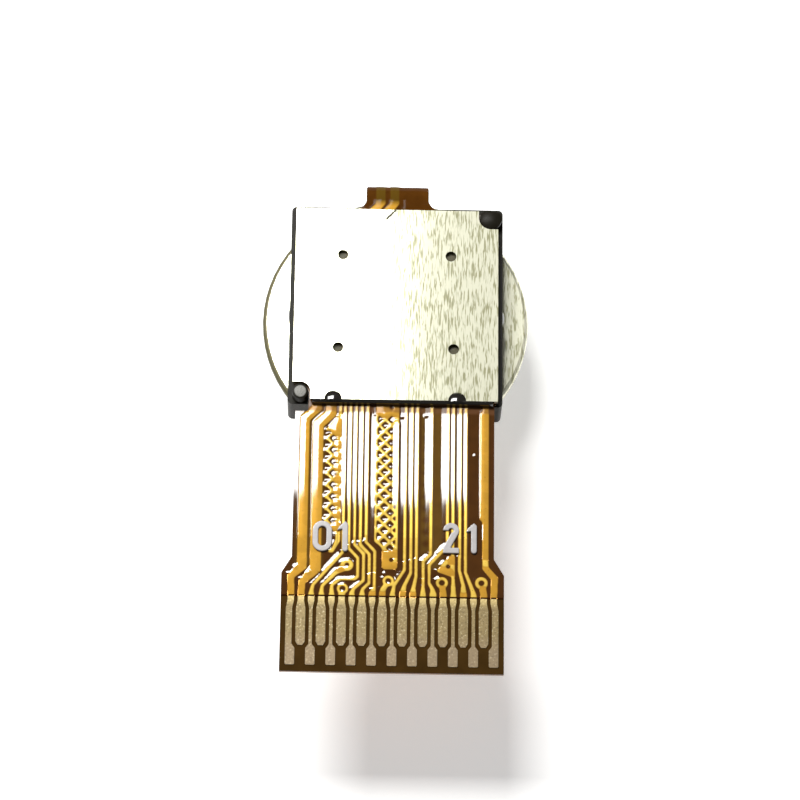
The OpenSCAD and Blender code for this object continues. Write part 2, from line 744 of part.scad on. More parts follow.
// ---- Lower copper layer and what it is bonded with ----
wire_count = 12;
wire_pitch = 0.3;
finger_x = die_w / 2 + wire_room / 2;
cap_y = die_l / 2 + capacitor_room / 2;
cap_l = 0.6;
cap_w = 0.3;
cap_xs = [-1.5, -0.5, 0.5, 1.5];

module lower_copper() color("#8a6a30") {
    band_top_y = plate_low_y - 0.1;
    slab(film_z - copper_t, copper_t) {
        difference() {
            translate([0.8, stiffener_y + 0.15]) square([0.66, band_top_y - stiffener_y - 0.15]);
            hatch_cells([0.97], band_top_y - 0.3, stiffener_y + 0.5);
        }
        difference() {
            translate([-2.9, stiffener_y + 0.15]) square([0.8, band_top_y - stiffener_y - 0.15]);
            post_room(post_r + post_clear, post_r + post_clear);
        }
        for (side = [-1, 1], i = [0:wire_count - 1])
            translate([side * finger_x, (i - (wire_count - 1) / 2) * wire_pitch]) centred_rect(0.2, 0.12);
        for (side = [-1, 1], x = cap_xs, end = [-1, 1])
            translate([x + end * (cap_l / 2 - 0.05), side * cap_y]) centred_rect(0.2, cap_w);
    }
}

module lower_outline() {
    difference() {
        flex_outline(stiffener_y, head_top_y);
        centred_rect(cavity_w - 2 * edge_inset, cavity_l - 2 * edge_inset);
        post_room(post_r + post_clear, post_r + post_clear);
    }
}

module lower_cover() color("#6b3c18") {
    slab(film_z - copper_t - cover_t, cover_t) lower_outline();
    difference() {
        slab(film_z - copper_t, copper_t) lower_outline();
        lower_copper();
    }
}

module contact_stiffener() color("#3a2412") {
    slab(film_z - stiffener_t, stiffener_t) flex_outline(tip_y, stiffener_y);
}

// ---- Sensor, wires and capacitors ----
module image_sensor() color("#3c4048") {
    slab(die_z, die_t) centred_rect(die_w, die_l);
}

module pixel_array() color("#4b3f63") {
    slab(die_z - array_t, array_t) centred_rect(array_w, array_l);
}

module die_attach() color("#8c8c86") {
    slab(die_back_z, attach_t) centred_rect(die_w - 2 * edge_inset, die_l - 2 * edge_inset);
}

module bond_wire() {
    inner_x = die_w / 2 - 0.12;
    loop_r = (finger_x - inner_x) / 2;
    r = wire_d / 2;
    translate([inner_x + loop_r, 0, die_z]) rotate([90, 0, 0]) rotate([0, 0, 180])
        rotate_extrude(angle = 180, $fn = 32) translate([loop_r, 0]) circle(r, $fn = 16);
    translate([finger_x, 0, die_z]) cylinder(h = film_z - copper_t - die_z, r = r, $fn = 16);
}

module bond_wires() color("#d9b04a") {
    for (side = [0, 1], i = [0:wire_count - 1])
        translate([0, (i - (wire_count - 1) / 2) * wire_pitch, 0]) mirror([side, 0, 0]) bond_wire();
}

module capacitors() color("#9c7b52") {
    cap_h = 0.3;
    skin = 0.01;
    for (side = [-1, 1], x = cap_xs) {
        slab(film_z - copper_t - cap_h + skin, cap_h - 2 * skin)
            translate([x, side * cap_y]) centred_rect(cap_l, cap_w - 2 * skin);
        for (end = [-1, 1]) slab(film_z - copper_t - cap_h, cap_h)
            translate([x + end * (cap_l / 2 - 0.05), side * cap_y]) centred_rect(0.14, cap_w);
    }
}

// ---- Infrared filter ----
module ir_filter() color("#9fd0c8", 0.6) {
    slab(filter_z, filter_t) centred_rect(filter_w, filter_w);
}

module filter_glue() color("#dad7cc") {
    slab(shelf_z, filter_glue_t) difference() {
        centred_rect(filter_w, filter_w);
        circle(d = window_d + 2 * edge_inset);
    }
}

// ---- Lens barrel and lenses ----
module lens_barrel() color("#121212") {
    r = barrel_r;
    mouth_r = 1.45;
    lip = 0.12;
    chamfer = 0.06;
    difference() {
        translate([0, 0, rim_z]) rotate_extrude($fn = 96) polygon([[mouth_r, 0], [r - chamfer, 0],
            [r, chamfer], [r, barrel_len], [lens_d / 2, barrel_len], [lens_d / 2, barrel_front_t],
            [aperture_d / 2, barrel_front_t], [mouth_r, lip]]);
        // Four notches in the rim for the focusing key
        for (a = [45:90:315]) rotate(a) translate([(mouth_r + r) / 2 + 0.1, 0, rim_z])
            cube([r - mouth_r - 0.2, 0.4, 0.3], center = true);
    }
}

// One element: a flat flange from z on, with a spherical face on each side.
// A positive sag stands proud and a negative one is hollow.
module lens_element(z, t, front_half, front_sag, back_half, back_sag) {
    function ball_r(half, sag) = (half * half + sag * sag) / (2 * abs(sag));
    module ball(at, half, sag, side) {
        r = ball_r(half, sag);
        translate([0, 0, at + side * (abs(sag) - r) * sign(sag)]) sphere(r, $fn = 96);
    }
    module bulge(at, half, sag, side) {
        low = side > 0 ? at - eps : at - sag - eps;
        intersection() {
            ball(at, half, sag, side);
            translate([0, 0, low]) cylinder(h = sag + 2 * eps, r = half + eps);
        }
    }
    difference() {
        union() {
            translate([0, 0, z]) cylinder(h = t, r = lens_r, $fn = 96);
            if (front_sag > 0) bulge(z, front_half, front_sag, -1);
            if (back_sag > 0) bulge(z + t, back_half, back_sag, 1);
        }
        if (front_sag < 0) ball(z, front_half, front_sag, -1);
        if (back_sag < 0) ball(z + t, back_half, back_sag, 1);
    }
}

module lens_1() color("#c9dce0", 0.5) lens_element(lens_1_z, lens_1_t, 0.78, 0.12, 0.75, -0.04);
module lens_2() color("#c9dce0", 0.5) lens_element(lens_2_z, lens_2_t, 0.72, -0.04, 0.95, -0.08);
module lens_3() color("#c9dce0", 0.5) lens_element(lens_3_z, lens_3_t, 1, 0.1, 1, 0.1);
module lens_4() color("#c9dce0", 0.5) lens_element(lens_4_z, lens_4_t, 1.2, -0.15, 1.3, -0.1);

module flat_ring(z, t, inner_r) {
    difference() {
        translate([0, 0, z]) cylinder(h = t, r = lens_r, $fn = 96);
        translate([0, 0, z - eps]) cylinder(h = t + 2 * eps, r = inner_r);
    }
}

module light_baffles() color("#0b0b0b") {
    flat_ring(baffle_1_z, baffle_t, baffle_1_r);
    flat_ring(baffle_2_z, baffle_t, baffle_2_r);
}

module spacer_ring() color("#0f0f0f") flat_ring(spacer_z, spacer_t, spacer_r);
module retainer_ring() color("#0f0f0f") flat_ring(retainer_z, retainer_t, retainer_r);

// Three short fillets of thread-locking glue between the barrel and the tower's front
module thread_lock() color("#b9b3a2") {
    w = lock_w;
    for (a = [0, 120, 240]) rotate(a - 20) translate([0, 0, tower_z]) rotate_extrude(angle = 40, $fn = 96)
        polygon([[barrel_r, 0], [barrel_r + w, 0], [barrel_r, -0.18]]);
}

lens_holder();
front_disc();
disc_film();
back_plate();
plate_film();
edge_bead();
glue_dots();
flex_film();
copper_tracks();
coverlay();
tail_tracks();
tail_cover();
contact_pads();
pin_numbers();
lower_copper();
lower_cover();
contact_stiffener();
tail_bond();
image_sensor();
pixel_array();
die_attach();
bond_wires();
capacitors();
ir_filter();
filter_glue();
lens_barrel();
lens_1();
lens_2();
lens_3();
lens_4();
light_baffles();
spacer_ring();
retainer_ring();
thread_lock();
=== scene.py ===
"""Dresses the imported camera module: films with relief, brushed steel, glue, plating and optics."""

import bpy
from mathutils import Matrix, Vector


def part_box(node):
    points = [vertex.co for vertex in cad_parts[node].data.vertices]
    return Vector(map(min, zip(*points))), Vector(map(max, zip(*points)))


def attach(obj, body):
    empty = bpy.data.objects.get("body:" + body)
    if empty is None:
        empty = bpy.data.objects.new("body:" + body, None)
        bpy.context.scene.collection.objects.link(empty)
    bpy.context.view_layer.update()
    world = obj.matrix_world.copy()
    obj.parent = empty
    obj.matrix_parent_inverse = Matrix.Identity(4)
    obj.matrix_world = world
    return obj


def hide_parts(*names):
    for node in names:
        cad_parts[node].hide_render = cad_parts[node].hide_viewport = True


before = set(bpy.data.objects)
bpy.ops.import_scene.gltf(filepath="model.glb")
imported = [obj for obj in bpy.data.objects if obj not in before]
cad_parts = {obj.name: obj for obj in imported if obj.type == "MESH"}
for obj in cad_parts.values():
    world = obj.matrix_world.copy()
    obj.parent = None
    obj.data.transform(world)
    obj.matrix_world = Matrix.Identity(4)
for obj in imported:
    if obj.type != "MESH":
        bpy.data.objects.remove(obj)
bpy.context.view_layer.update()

import math

import bpy
import numpy as np
from bpy.props import FloatProperty, FloatVectorProperty, PointerProperty
from mathutils import Matrix, Vector
from mathutils.bvhtree import BVHTree

bl_info = {
    "name": "Camera module dresser",
    "version": (1, 0, 0),
    "blender": (4, 5, 0),
    "location": "3D View > Sidebar > Camera Module",
    "description": "Builds the films, steel, glue and optics of a camera module around its frame",
    "category": "Object",
}

MM = 0.001
BODY = "root"
SAMPLE = 0.005 * MM


# ---- Places read from the frame, in metres ----
def low(node):
    """Lowest corner of a CAD node."""
    return Vector(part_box(node)[0])


def high(node):
    """Highest corner of a CAD node."""
    return Vector(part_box(node)[1])


PLATE_LOW, PLATE_HIGH = low("back_plate"), high("back_plate")
HOLDER_HIGH = high("lens_holder")
BARREL_LOW = low("lens_barrel")
COVER_LOW, COVER_HIGH = low("coverlay"), high("coverlay")
COPPER_FOOT = low("copper_tracks").z
TAIL_LOW, TAIL_HIGH = low("tail_cover"), high("tail_cover")
TAIL_FILM = 0.03 * MM
TAIL_SAG = 0.014 * MM

# Holes of the plate lie at least this far from its edges and from one another
HOLE_ZONE = 0.6 * MM
# Steps of the two film nets, and the least width of a broad track
COVER_STEP = 0.0205 * MM
TAIL_STEP = 0.03 * MM
BROAD_TRACK = 0.165 * MM
# Slices in which the bead swells
BEAD_SLICES = 90

# Dust and resin trapped under the cover film, in mm, with the height and spread of each lump
LUMPS = ((-2.5, -8.62), (0.9, -8.2), (1.38, -8.75), (-0.23, -8.62), (0.23, -3.65), (0.95, -3.6),
         (-2.9, -8.45), (-1.8, -5.6), (2.44, -4.85))
LUMP_RISE, LUMP_SPREAD = 0.009 * MM, 0.045
# Middle of the worn corner post
POST_PLACE = Vector((-2.87 * MM, -2.97 * MM, 0))

WORLD_LIGHT = 0.12
# Left, right, near, far, height and power of each panel. The key panel's mirror image ends across
# the plate's middle and across the tracks.
KEY_PANEL = (-42 * MM, -0.6 * MM, 15 * MM, 38 * MM, 64 * MM, 0.085)
FILL_PANEL = (40 * MM, 80 * MM, -20 * MM, 20 * MM, 50 * MM, 0.002)
# Point that the camera looks at, its turns in degrees in the order they are made, and its lens
CAMERA_AIM = Vector((0.146 * MM, -3.2 * MM, PLATE_HIGH.z))
CAMERA_TURNS = (("Y", -0.788), ("X", 20.787), ("Z", 0.744))
CAMERA_DISTANCE = 105 * MM
CAMERA_LENS = 156.8889


# ---- What a user may change ----
class FilmSizes(bpy.types.PropertyGroup):
    """Relief and colours of the films."""

    cover_sag: FloatProperty(
        name="Cover film sag",
        description="How far the cover film sinks between two tracks",
        default=0.03 * MM, min=0.0, max=0.04 * MM, unit="LENGTH",
    )
    ramp: FloatProperty(
        name="Ramp",
        description="Width over which the film climbs to the right edge of a fine track",
        default=0.21 * MM, min=0.02 * MM, max=0.3 * MM, unit="LENGTH",
    )
    copper_color: FloatVectorProperty(
        name="Copper under film",
        description="Colour of the copper seen through the amber cover film",
        default=(0.52, 0.27, 0.03), min=0.0, max=1.0, subtype="COLOR",
    )
    # Paler than the copper colour: a painted highlight where thin tracks catch the light.
    fine_highlight_color: FloatVectorProperty(
        name="Fine tracks",
        description="Colour of the narrow tracks and of the hatch through the cover film",
        default=(0.74, 0.5, 0.085), min=0.0, max=1.0, subtype="COLOR",
    )
    base_color: FloatVectorProperty(
        name="Film over bare base",
        description="Colour of the film where no copper lies below it",
        default=(0.058, 0.02, 0.0025), min=0.0, max=1.0, subtype="COLOR",
    )
    deep_color: FloatVectorProperty(
        name="Lower copper",
        description="Colour of the lower copper layer seen through the base film",
        default=(0.105, 0.052, 0.007), min=0.0, max=1.0, subtype="COLOR",
    )


class MetalSizes(bpy.types.PropertyGroup):
    """Finish of the steel and of the contacts."""

    edge_bevel: FloatProperty(
        name="Edge rounding",
        description="Rounding of the stamped edges of the back plate",
        default=0.018 * MM, min=0.0, max=0.05 * MM, unit="LENGTH",
    )
    grain_length: FloatProperty(
        name="Grain length",
        description="Length of one brush mark on the steel",
        default=0.4 * MM, min=0.05 * MM, max=2 * MM, unit="LENGTH",
    )
    grain_width: FloatProperty(
        name="Grain width",
        description="Width of one brush mark on the steel",
        default=0.046 * MM, min=0.01 * MM, max=0.2 * MM, unit="LENGTH",
    )
    steel_color: FloatVectorProperty(
        name="Steel",
        description="Colour of the brushed steel",
        default=(0.98, 0.97, 0.76), min=0.0, max=1.0, subtype="COLOR",
    )
    plating_color: FloatVectorProperty(
        name="Contact plating",
        description="Colour of the plated contacts",
        default=(0.19, 0.138, 0.056), min=0.0, max=1.0, subtype="COLOR",
    )


class GlueSizes(bpy.types.PropertyGroup):
    """Printed numbers and glue."""

    ink_rise: FloatProperty(
        name="Ink thickness",
        description="How high the printed pin numbers stand on the film",
        default=0.05 * MM, min=0.01 * MM, max=0.1 * MM, unit="LENGTH",
    )
    bead_swell: FloatProperty(
        name="Bead swell",
        description="How much the epoxy bead swells and thins along its length",
        default=0.018 * MM, min=0.0, max=0.05 * MM, unit="LENGTH",
    )


# ---- Mesh helpers ----
def deselect():
    """Leaves nothing selected and nothing active."""
    for item in list(bpy.context.selected_objects):
        item.select_set(False)
    bpy.context.view_layer.objects.active = None


def activate(item):
    """Makes one object the only one selected, and active."""
    deselect()
    item.select_set(True)
    bpy.context.view_layer.objects.active = item


def start_edit(item):
    """Goes into edit mode on one object, with all of it selected."""
    activate(item)
    bpy.ops.object.mode_set(mode="EDIT")
    bpy.ops.mesh.select_all(action="SELECT")


def end_edit():
    """Leaves edit mode."""
    bpy.ops.object.mode_set(mode="OBJECT")


def settle(item):
    """Puts an object's place, turn and size into its mesh."""
    activate(item)
    bpy.ops.object.transform_apply(location=True, rotation=True, scale=True)


def copy_of(node, name):
    """A copy of a CAD node as a new piece, its loose triangles merged into one skin."""
    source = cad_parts[node]
    item = bpy.data.objects.new(name, source.data.copy())
    item.data.name = name
    item.data.materials.clear()
    bpy.context.scene.collection.objects.link(item)
    item.matrix_world = source.matrix_world.copy()
    settle(item)
    start_edit(item)
    bpy.ops.mesh.remove_doubles(threshold=0.0002 * MM)
    bpy.ops.mesh.tris_convert_to_quads(face_threshold=0.02, shape_threshold=3.1)
    bpy.ops.mesh.dissolve_limited(angle_limit=math.radians(0.5))
    end_edit()
    return item


def add_modifier(item, kind, **settings):
    """Adds a modifier with its settings and applies it."""
    activate(item)
    before = [tuple(v.co) for v in item.data.vertices]
    modifier = item.modifiers.new(kind.title(), kind)
    for key, value in settings.items():
        setattr(modifier, key, value)
    bpy.ops.object.modifier_apply(modifier=modifier.name)
    if before == [tuple(v.co) for v in item.data.vertices]:
        raise RuntimeError(f"{kind} left {item.name} as it was")


def round_holes(item):
    """Recuts the inner holes of a level plate as true circles."""
    rings = []
    for polygon in item.data.polygons:
        x, y, _ = polygon.center
        margin = min(x - PLATE_LOW.x, PLATE_HIGH.x - x, y - PLATE_LOW.y, PLATE_HIGH.y - y)
        if abs(polygon.normal.z) > 0.1 or margin < HOLE_ZONE:
            continue
        points = [item.data.vertices[i].co.copy() for i in polygon.vertices]
        near = [ring for ring in rings if (ring[0] - points[0]).length < HOLE_ZONE]
        if near:
            near[0].extend(points)
        else:
            rings.append(points)
    for ring in rings:
        xs, ys = [p.x for p in ring], [p.y for p in ring]
        size = max(max(xs) - min(xs), max(ys) - min(ys))
        place = ((max(xs) + min(xs)) / 2, (max(ys) + min(ys)) / 2, PLATE_HIGH.z)
        bpy.ops.mesh.primitive_cylinder_add(
            vertices=48, radius=size / 2, depth=1 * MM, location=place
        )
        cutter = bpy.context.active_object
        settle(cutter)
        add_modifier(item, "BOOLEAN", operation="DIFFERENCE", solver="EXACT", object=cutter)
        bpy.data.objects.remove(cutter)
    start_edit(item)
    bpy.ops.mesh.remove_doubles(threshold=0.001 * MM)
    bpy.ops.mesh.dissolve_limited(angle_limit=math.radians(1))
    end_edit()


def bevel_edges(item, width, segments=2, angle=40):
    """Rounds the sharp edges of a piece."""
    add_modifier(
        item,
        "BEVEL",
        width=width,
        segments=segments,
        limit_method="ANGLE",
        angle_limit=math.radians(angle),
        harden_normals=False,
        use_clamp_overlap=True,
    )


def smooth(item, angle=35):
    """Shades a piece smooth up to an angle."""
    activate(item)
    bpy.ops.object.shade_smooth_by_angle(angle=math.radians(angle))


def rounded_copy(node, name, width, angle=40):
    """A copy of a CAD node with rounded edges, shaded smooth."""
    item = copy_of(node, name)
    bevel_edges(item, width, 2, angle)
    smooth(item, 18)
    return item


def resize(item, factor):
    """Scales a piece about the origin; a voxel remesh needs a mesh of ordinary size."""
    start_edit(item)
    bpy.ops.transform.resize(value=(factor, factor, factor), center_override=(0, 0, 0))
    end_edit()


def outward_open(item):
    """Turns an open sheet over if its first face looks down."""
    if item.data.polygons[0].normal.z < 0:
        start_edit(item)
        bpy.ops.mesh.flip_normals()
        end_edit()


def outward(item):
    """Turns all faces of a closed piece outwards."""
    start_edit(item)
    bpy.ops.mesh.normals_make_consistent(inside=False)
    end_edit()


def finish_piece(item, slot, material, *nodes):
    """Gives a piece its material, and lets it stand for its CAD nodes."""
    item.data.materials.clear()
    item.data.materials.append(material)
    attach(item, BODY)
    if nodes:
        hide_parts(*nodes)
    deselect()


def paint(node, material):
    """Gives a CAD node a better material."""
    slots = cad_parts[node].material_slots
    for index in range(len(slots)):
        slots[index].material = material
    if not len(slots):
        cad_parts[node].data.materials.append(material)


def solid_tree(*nodes):
    """A tree that finds where rays meet some CAD nodes."""
    points, faces = [], []
    for node in nodes:
        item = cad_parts[node]
        start = len(points)
        points.extend(item.matrix_world @ v.co for v in item.data.vertices)
        faces.extend([start + i for i in p.vertices] for p in item.data.polygons)
    return BVHTree.FromPolygons(points, faces)


def soften(field, down, across):
    """Blurs a field over a number of grid steps, down its rows and across its columns."""
    for _ in range(2):
        for axis, steps in ((0, down), (1, across)):
            if not steps:
                continue
            padded = np.concatenate(
                [np.repeat(np.take(field, [0], axis), steps, axis), field,
                 np.repeat(np.take(field, [-1], axis), steps, axis)], axis)
            total = np.cumsum(padded, axis)
            total = np.concatenate([np.zeros_like(np.take(total, [0], axis)), total], axis)
            width = 2 * steps + 1
            count = field.shape[axis]
            top = np.take(total, range(width, width + count), axis)
            field = (top - np.take(total, range(count), axis)) / width
    return field


def moved(field, steps):
    """A field moved by a number of columns, to the left if positive."""
    result = np.zeros_like(field)
    if steps > 0:
        result[:, :-steps] = field[:, steps:]
    elif steps < 0:
        result[:, -steps:] = field[:, :steps]
    else:
        result[:] = field
    return result


def broad_part(field, width):
    """The part of a mark that squares with a side of a number of grid steps can cover."""
    kept = field
    for way, pick in ((1, np.minimum), (-1, np.maximum)):
        for _ in range(2):
            kept = pick.reduce([moved(kept, way * step) for step in range(width)]).T
    return kept


def drape(copper, slope, width):
    """Heights of a film pressed over copper, and a mask of the fine tracks.

    The film climbs slowly on the left of fine copper and drops quickly on its right. Along
    straight fine tracks it climbs on to their right edge. Broad ones, at least width columns
    wide, are crowned."""
    solid = (copper > 0.5).astype(float)
    broad = broad_part(solid, width)
    fine = solid * (1 - broad)
    short = int(0.7 * slope)
    soft = np.maximum.reduce([moved(fine, step) * (1 - step / short) for step in range(short)])
    soft = 0.78 * soften(soft, 1, 1) + 0.22 * soften(fine, 6, 6)

    edge = fine * (1 - moved(solid, 1))
    upright = edge * (soften(edge, 9, 0) > 0.8)
    climb = [moved(upright, step) * (1 - step / (slope + 1)) for step in range(-1, slope + 1)]
    rise = np.maximum.reduce(climb)
    fall = [moved(rise * fine, -step) * (1 - step / 4) for step in range(1, 4)]
    firm = soften(np.maximum.reduce([rise, *fall]), 1, 0)
    zone = np.maximum.reduce([moved(upright, step) for step in range(-3, slope)])
    share = np.clip(1.6 * soften(zone, 4, 1) - 0.3, 0, 1)

    half = width // 2
    core = np.minimum.reduce([moved(broad, step) for step in range(-half, half + 1)])
    crown = 0.5 * broad + 0.5 * soften(core, 2, half)
    side = [moved(crown * broad, -step) * (1 - step / 4) for step in range(1, 4)]
    crown = soften(np.maximum.reduce([crown, *side]), 2, 0)
    return np.clip(np.maximum(share * firm + (1 - share) * soft, crown), 0, 1), fine


def film_grid(name, rows, columns, place, sheets, sag, relief, slope, width, ripple):
    """A film draped over copper: a grid whose points sink where no copper lies below them.

    place(u, v) gives the flat point and its outward direction for u and v from 0 to 1, sheets
    maps an attribute's name to the copper that it marks, and relief gives the share of the sag
    that the film keeps over copper."""
    bpy.ops.mesh.primitive_grid_add(x_subdivisions=columns, y_subdivisions=rows, size=1)
    item = bpy.context.active_object
    item.name = item.data.name = name
    marks = {key: np.zeros((rows + 1, columns + 1)) for key in sheets}
    spots, ways = [], []
    for row in range(rows + 1):
        for column in range(columns + 1):
            point, way = place(column / columns, row / rows)
            spots.append(point)
            ways.append(way)
            for key, (tree, depth) in sheets.items():
                across = Vector((SAMPLE, 0, 0))
                side = way.cross(Vector((1, 0, 0))) * SAMPLE
                for shift in (across + side, across - side, side - across, -across - side):
                    if tree.ray_cast(point + shift + way * 0.01 * MM, -way, depth)[0] is not None:
                        marks[key][row, column] += 0.25
    heights, marks["fine"] = drape(marks["copper"], slope, width)
    places = np.array([tuple(p) for p in spots]).reshape(rows + 1, columns + 1, 3)
    normals = np.array([tuple(w) for w in ways]).reshape(rows + 1, columns + 1, 3)
    drop = sag * (1 - relief(places) * heights) + ripple(places)
    shaped = places - normals * drop[..., None]
    item.data.vertices.foreach_set("co", shaped.reshape(-1))
    for key, field in marks.items():
        soft = soften(field, 2, 2) if key == "deep" else soften(field, 1, 1)
        attribute = item.data.attributes.new(key, "FLOAT", "POINT")
        attribute.data.foreach_set("value", soft.reshape(-1))
    item.data.update()
    return item


def trim_to(item, tree, depth):
    """Deletes the faces of a flat net that have none of a CAD node below them."""

    def bare(polygon):
        start = polygon.center + Vector((0, 0, 0.05 * MM))
        return tree.ray_cast(start, Vector((0, 0, -1)), depth)[0] is None

    total = len(item.data.polygons)
    select_faces(item, bare)
    bpy.ops.mesh.delete(type="FACE")
    end_edit()
    if len(item.data.polygons) < total / 2:
        raise RuntimeError(f"{item.name} lost most of its faces when it was trimmed")


def close_down(item, foot):
    """Closes an open net with a wall from its rim down to a level, and one flat face there."""
    activate(item)
    bpy.ops.object.mode_set(mode="EDIT")
    bpy.ops.mesh.select_mode(type="EDGE")
    bpy.ops.mesh.select_all(action="DESELECT")
    bpy.ops.mesh.select_non_manifold()
    bpy.ops.mesh.extrude_edges_move(TRANSFORM_OT_translate={"value": (0, 0, -0.02 * MM)})
    bpy.ops.transform.resize(value=(1, 1, 0), center_override=(0, 0, foot))
    bpy.ops.mesh.edge_face_add()
    bpy.ops.mesh.select_all(action="DESELECT")
    bpy.ops.mesh.select_non_manifold()
    end_edit()
    if any(edge.select for edge in item.data.edges):
        raise RuntimeError(f"{item.name} is not closed")


def select_faces(item, test):
    """Goes into edit mode with only the faces selected that pass a test."""
    activate(item)
    bpy.ops.object.mode_set(mode="EDIT")
    bpy.ops.mesh.select_mode(type="FACE")
    bpy.ops.mesh.select_all(action="DESELECT")
    end_edit()
    for polygon in item.data.polygons:
        polygon.select = test(polygon)
    bpy.ops.object.mode_set(mode="EDIT")


# ---- Material helpers ----
def add_node(tree, kind, **settings):
    """Adds a shader node and sets its plain settings."""
    made = tree.nodes.new(kind)
    for key, value in settings.items():
        setattr(made, key, value)
    return made


def join(tree, source, target):
    """Links two sockets."""
    tree.links.new(source, target)


def set_inputs(node, values):
    """Sets a node's plain sockets; a name has _ for a space, and a colour is a tuple."""
    for key, value in values.items():
        target = node.inputs[key.replace("_", " ")]
        target.default_value = (*value, 1) if isinstance(value, tuple) else value


def math_node(tree, operation, a, b=None):
    """A Math node; a and b are sockets or numbers."""
    made = add_node(tree, "ShaderNodeMath", operation=operation)
    for index, value in enumerate((a, b)):
        if value is None:
            continue
        if isinstance(value, (int, float)):
            made.inputs[index].default_value = value
        else:
            join(tree, value, made.inputs[index])
    return made.outputs[0]


def times(tree, a, b):
    """The product of two values."""
    return math_node(tree, "MULTIPLY", a, b)


def ramp_node(tree, value, stops):
    """A colour ramp with (place, grey) stops, as a mask."""
    made = add_node(tree, "ShaderNodeValToRGB")
    ramp = made.color_ramp
    while len(ramp.elements) < len(stops):
        ramp.elements.new(0.5)
    for element, (place, grey) in zip(ramp.elements, stops):
        element.position = place
        element.color = (grey, grey, grey, 1)
    join(tree, value, made.inputs["Fac"])
    return made.outputs["Color"]


def tinted(color, factor):
    """A colour made darker or paler by a factor."""
    return tuple(min(1.0, factor * c) for c in color)


def mix_color(tree, mask, a, b):
    """Mixes two colours, each a socket or a tuple, by a mask."""
    made = add_node(tree, "ShaderNodeMix", data_type="RGBA", clamp_factor=True)
    join(tree, mask, made.inputs["Factor"])
    for key, value in (("A", a), ("B", b)):
        target = [s for s in made.inputs if s.name == key and s.type == "RGBA"][0]
        if isinstance(value, tuple):
            target.default_value = (*value[:3], 1)
        else:
            join(tree, value, target)
    return [s for s in made.outputs if s.type == "RGBA"][0]


def object_places(tree):
    """Object coordinates."""
    return add_node(tree, "ShaderNodeTexCoord").outputs["Object"]


def object_point(tree, scale):
    """Object coordinates, scaled."""
    scaled = add_node(tree, "ShaderNodeVectorMath", operation="MULTIPLY")
    scaled.inputs[1].default_value = scale
    join(tree, object_places(tree), scaled.inputs[0])
    return scaled.outputs[0]


def axes_of(tree, vector):
    """The X, Y and Z of a vector."""
    parts = add_node(tree, "ShaderNodeSeparateXYZ")
    join(tree, vector, parts.inputs[0])
    return parts.outputs


def distance_to(tree, point, centre):
    """How far a point is from a fixed centre."""
    away = add_node(tree, "ShaderNodeVectorMath", operation="DISTANCE")
    join(tree, point, away.inputs[0])
    away.inputs[1].default_value = centre
    return away.outputs["Value"]


def noise(tree, point, scale=1.0, detail=2.0, roughness=0.5, distortion=0.0):
    """A noise texture's value; scale is a number or a socket."""
    made = add_node(tree, "ShaderNodeTexNoise")
    join(tree, point, made.inputs["Vector"])
    if isinstance(scale, (int, float)):
        made.inputs["Scale"].default_value = scale
    else:
        join(tree, scale, made.inputs["Scale"])
    set_inputs(made, {"Detail": detail, "Roughness": roughness, "Distortion": distortion})
    return made.outputs["Fac"]


def group_nodes(name, inputs, outputs):
    """A new shader node group of number sockets, with its input and output nodes."""
    group = bpy.data.node_groups.new(name, "ShaderNodeTree")
    for key, default in inputs.items():
        made = group.interface.new_socket(name=key, in_out="INPUT", socket_type="NodeSocketFloat")
        made.default_value = default
    for key in outputs:
        group.interface.new_socket(name=key, in_out="OUTPUT", socket_type="NodeSocketFloat")
    return group, add_node(group, "NodeGroupInput"), add_node(group, "NodeGroupOutput")


def make_grain_group():
    """Brush marks that run along Y: a mask of dark marks and a fine height."""
    group, given, result = group_nodes(
        "Brush grain", {"Across": 20000, "Along": 2400}, ("Marks", "Height", "Cloud")
    )
    stretch = add_node(group, "ShaderNodeCombineXYZ")
    for index, key in enumerate(("Across", "Along", "Along")):
        join(group, given.outputs[key], stretch.inputs[index])
    scaled = add_node(group, "ShaderNodeVectorMath", operation="MULTIPLY")
    join(group, object_places(group), scaled.inputs[0])
    join(group, stretch.outputs[0], scaled.inputs[1])
    marks = noise(group, scaled.outputs[0], 1.0, 2.0, 0.5, 0.3)
    fine = noise(group, scaled.outputs[0], 2.7, 3.0, 0.6)
    cloud = noise(group, object_point(group, (900, 500, 900)), 1.0, 3.0)
    sharp = ramp_node(group, marks, [(0.48, 0.0), (0.62, 1.0)])
    join(group, sharp, result.inputs["Marks"])
    join(group, fine, result.inputs["Height"])
    join(group, cloud, result.inputs["Cloud"])
    return group


def make_speckle_group():
    """Small specks and soft clouds at a given size, for plating, film, plastic and glue."""
    group, given, result = group_nodes(
        "Specks and clouds", {"Speck scale": 30000, "Cloud scale": 1500}, ("Specks", "Clouds")
    )
    where = object_places(group)
    small = noise(group, where, given.outputs["Speck scale"], 3.0, 0.6)
    large = noise(group, where, given.outputs["Cloud scale"], 4.0)
    join(group, small, result.inputs["Specks"])
    join(group, large, result.inputs["Clouds"])
    return group


GROUPS = {}


def group_of(tree, key, **values):
    """Places a shared node group in a material with its own values."""
    makers = {"grain": make_grain_group, "speckle": make_speckle_group}
    if key not in GROUPS:
        GROUPS[key] = makers[key]()
    made = add_node(tree, "ShaderNodeGroup", node_tree=GROUPS[key])
    set_inputs(made, values)
    return made


def new_material(name, **plain):
    """A material with a Principled shader whose plain sockets are set by name."""
    material = bpy.data.materials.new(name)
    material.use_nodes = True
    tree = material.node_tree
    shader = tree.nodes["Principled BSDF"]
    set_inputs(shader, plain)
    return material, tree, shader


def dress(tree, shader, color, rough):
    """Feeds a colour and a roughness into the shader."""
    join(tree, color, shader.inputs["Base Color"])
    join(tree, rough, shader.inputs["Roughness"])


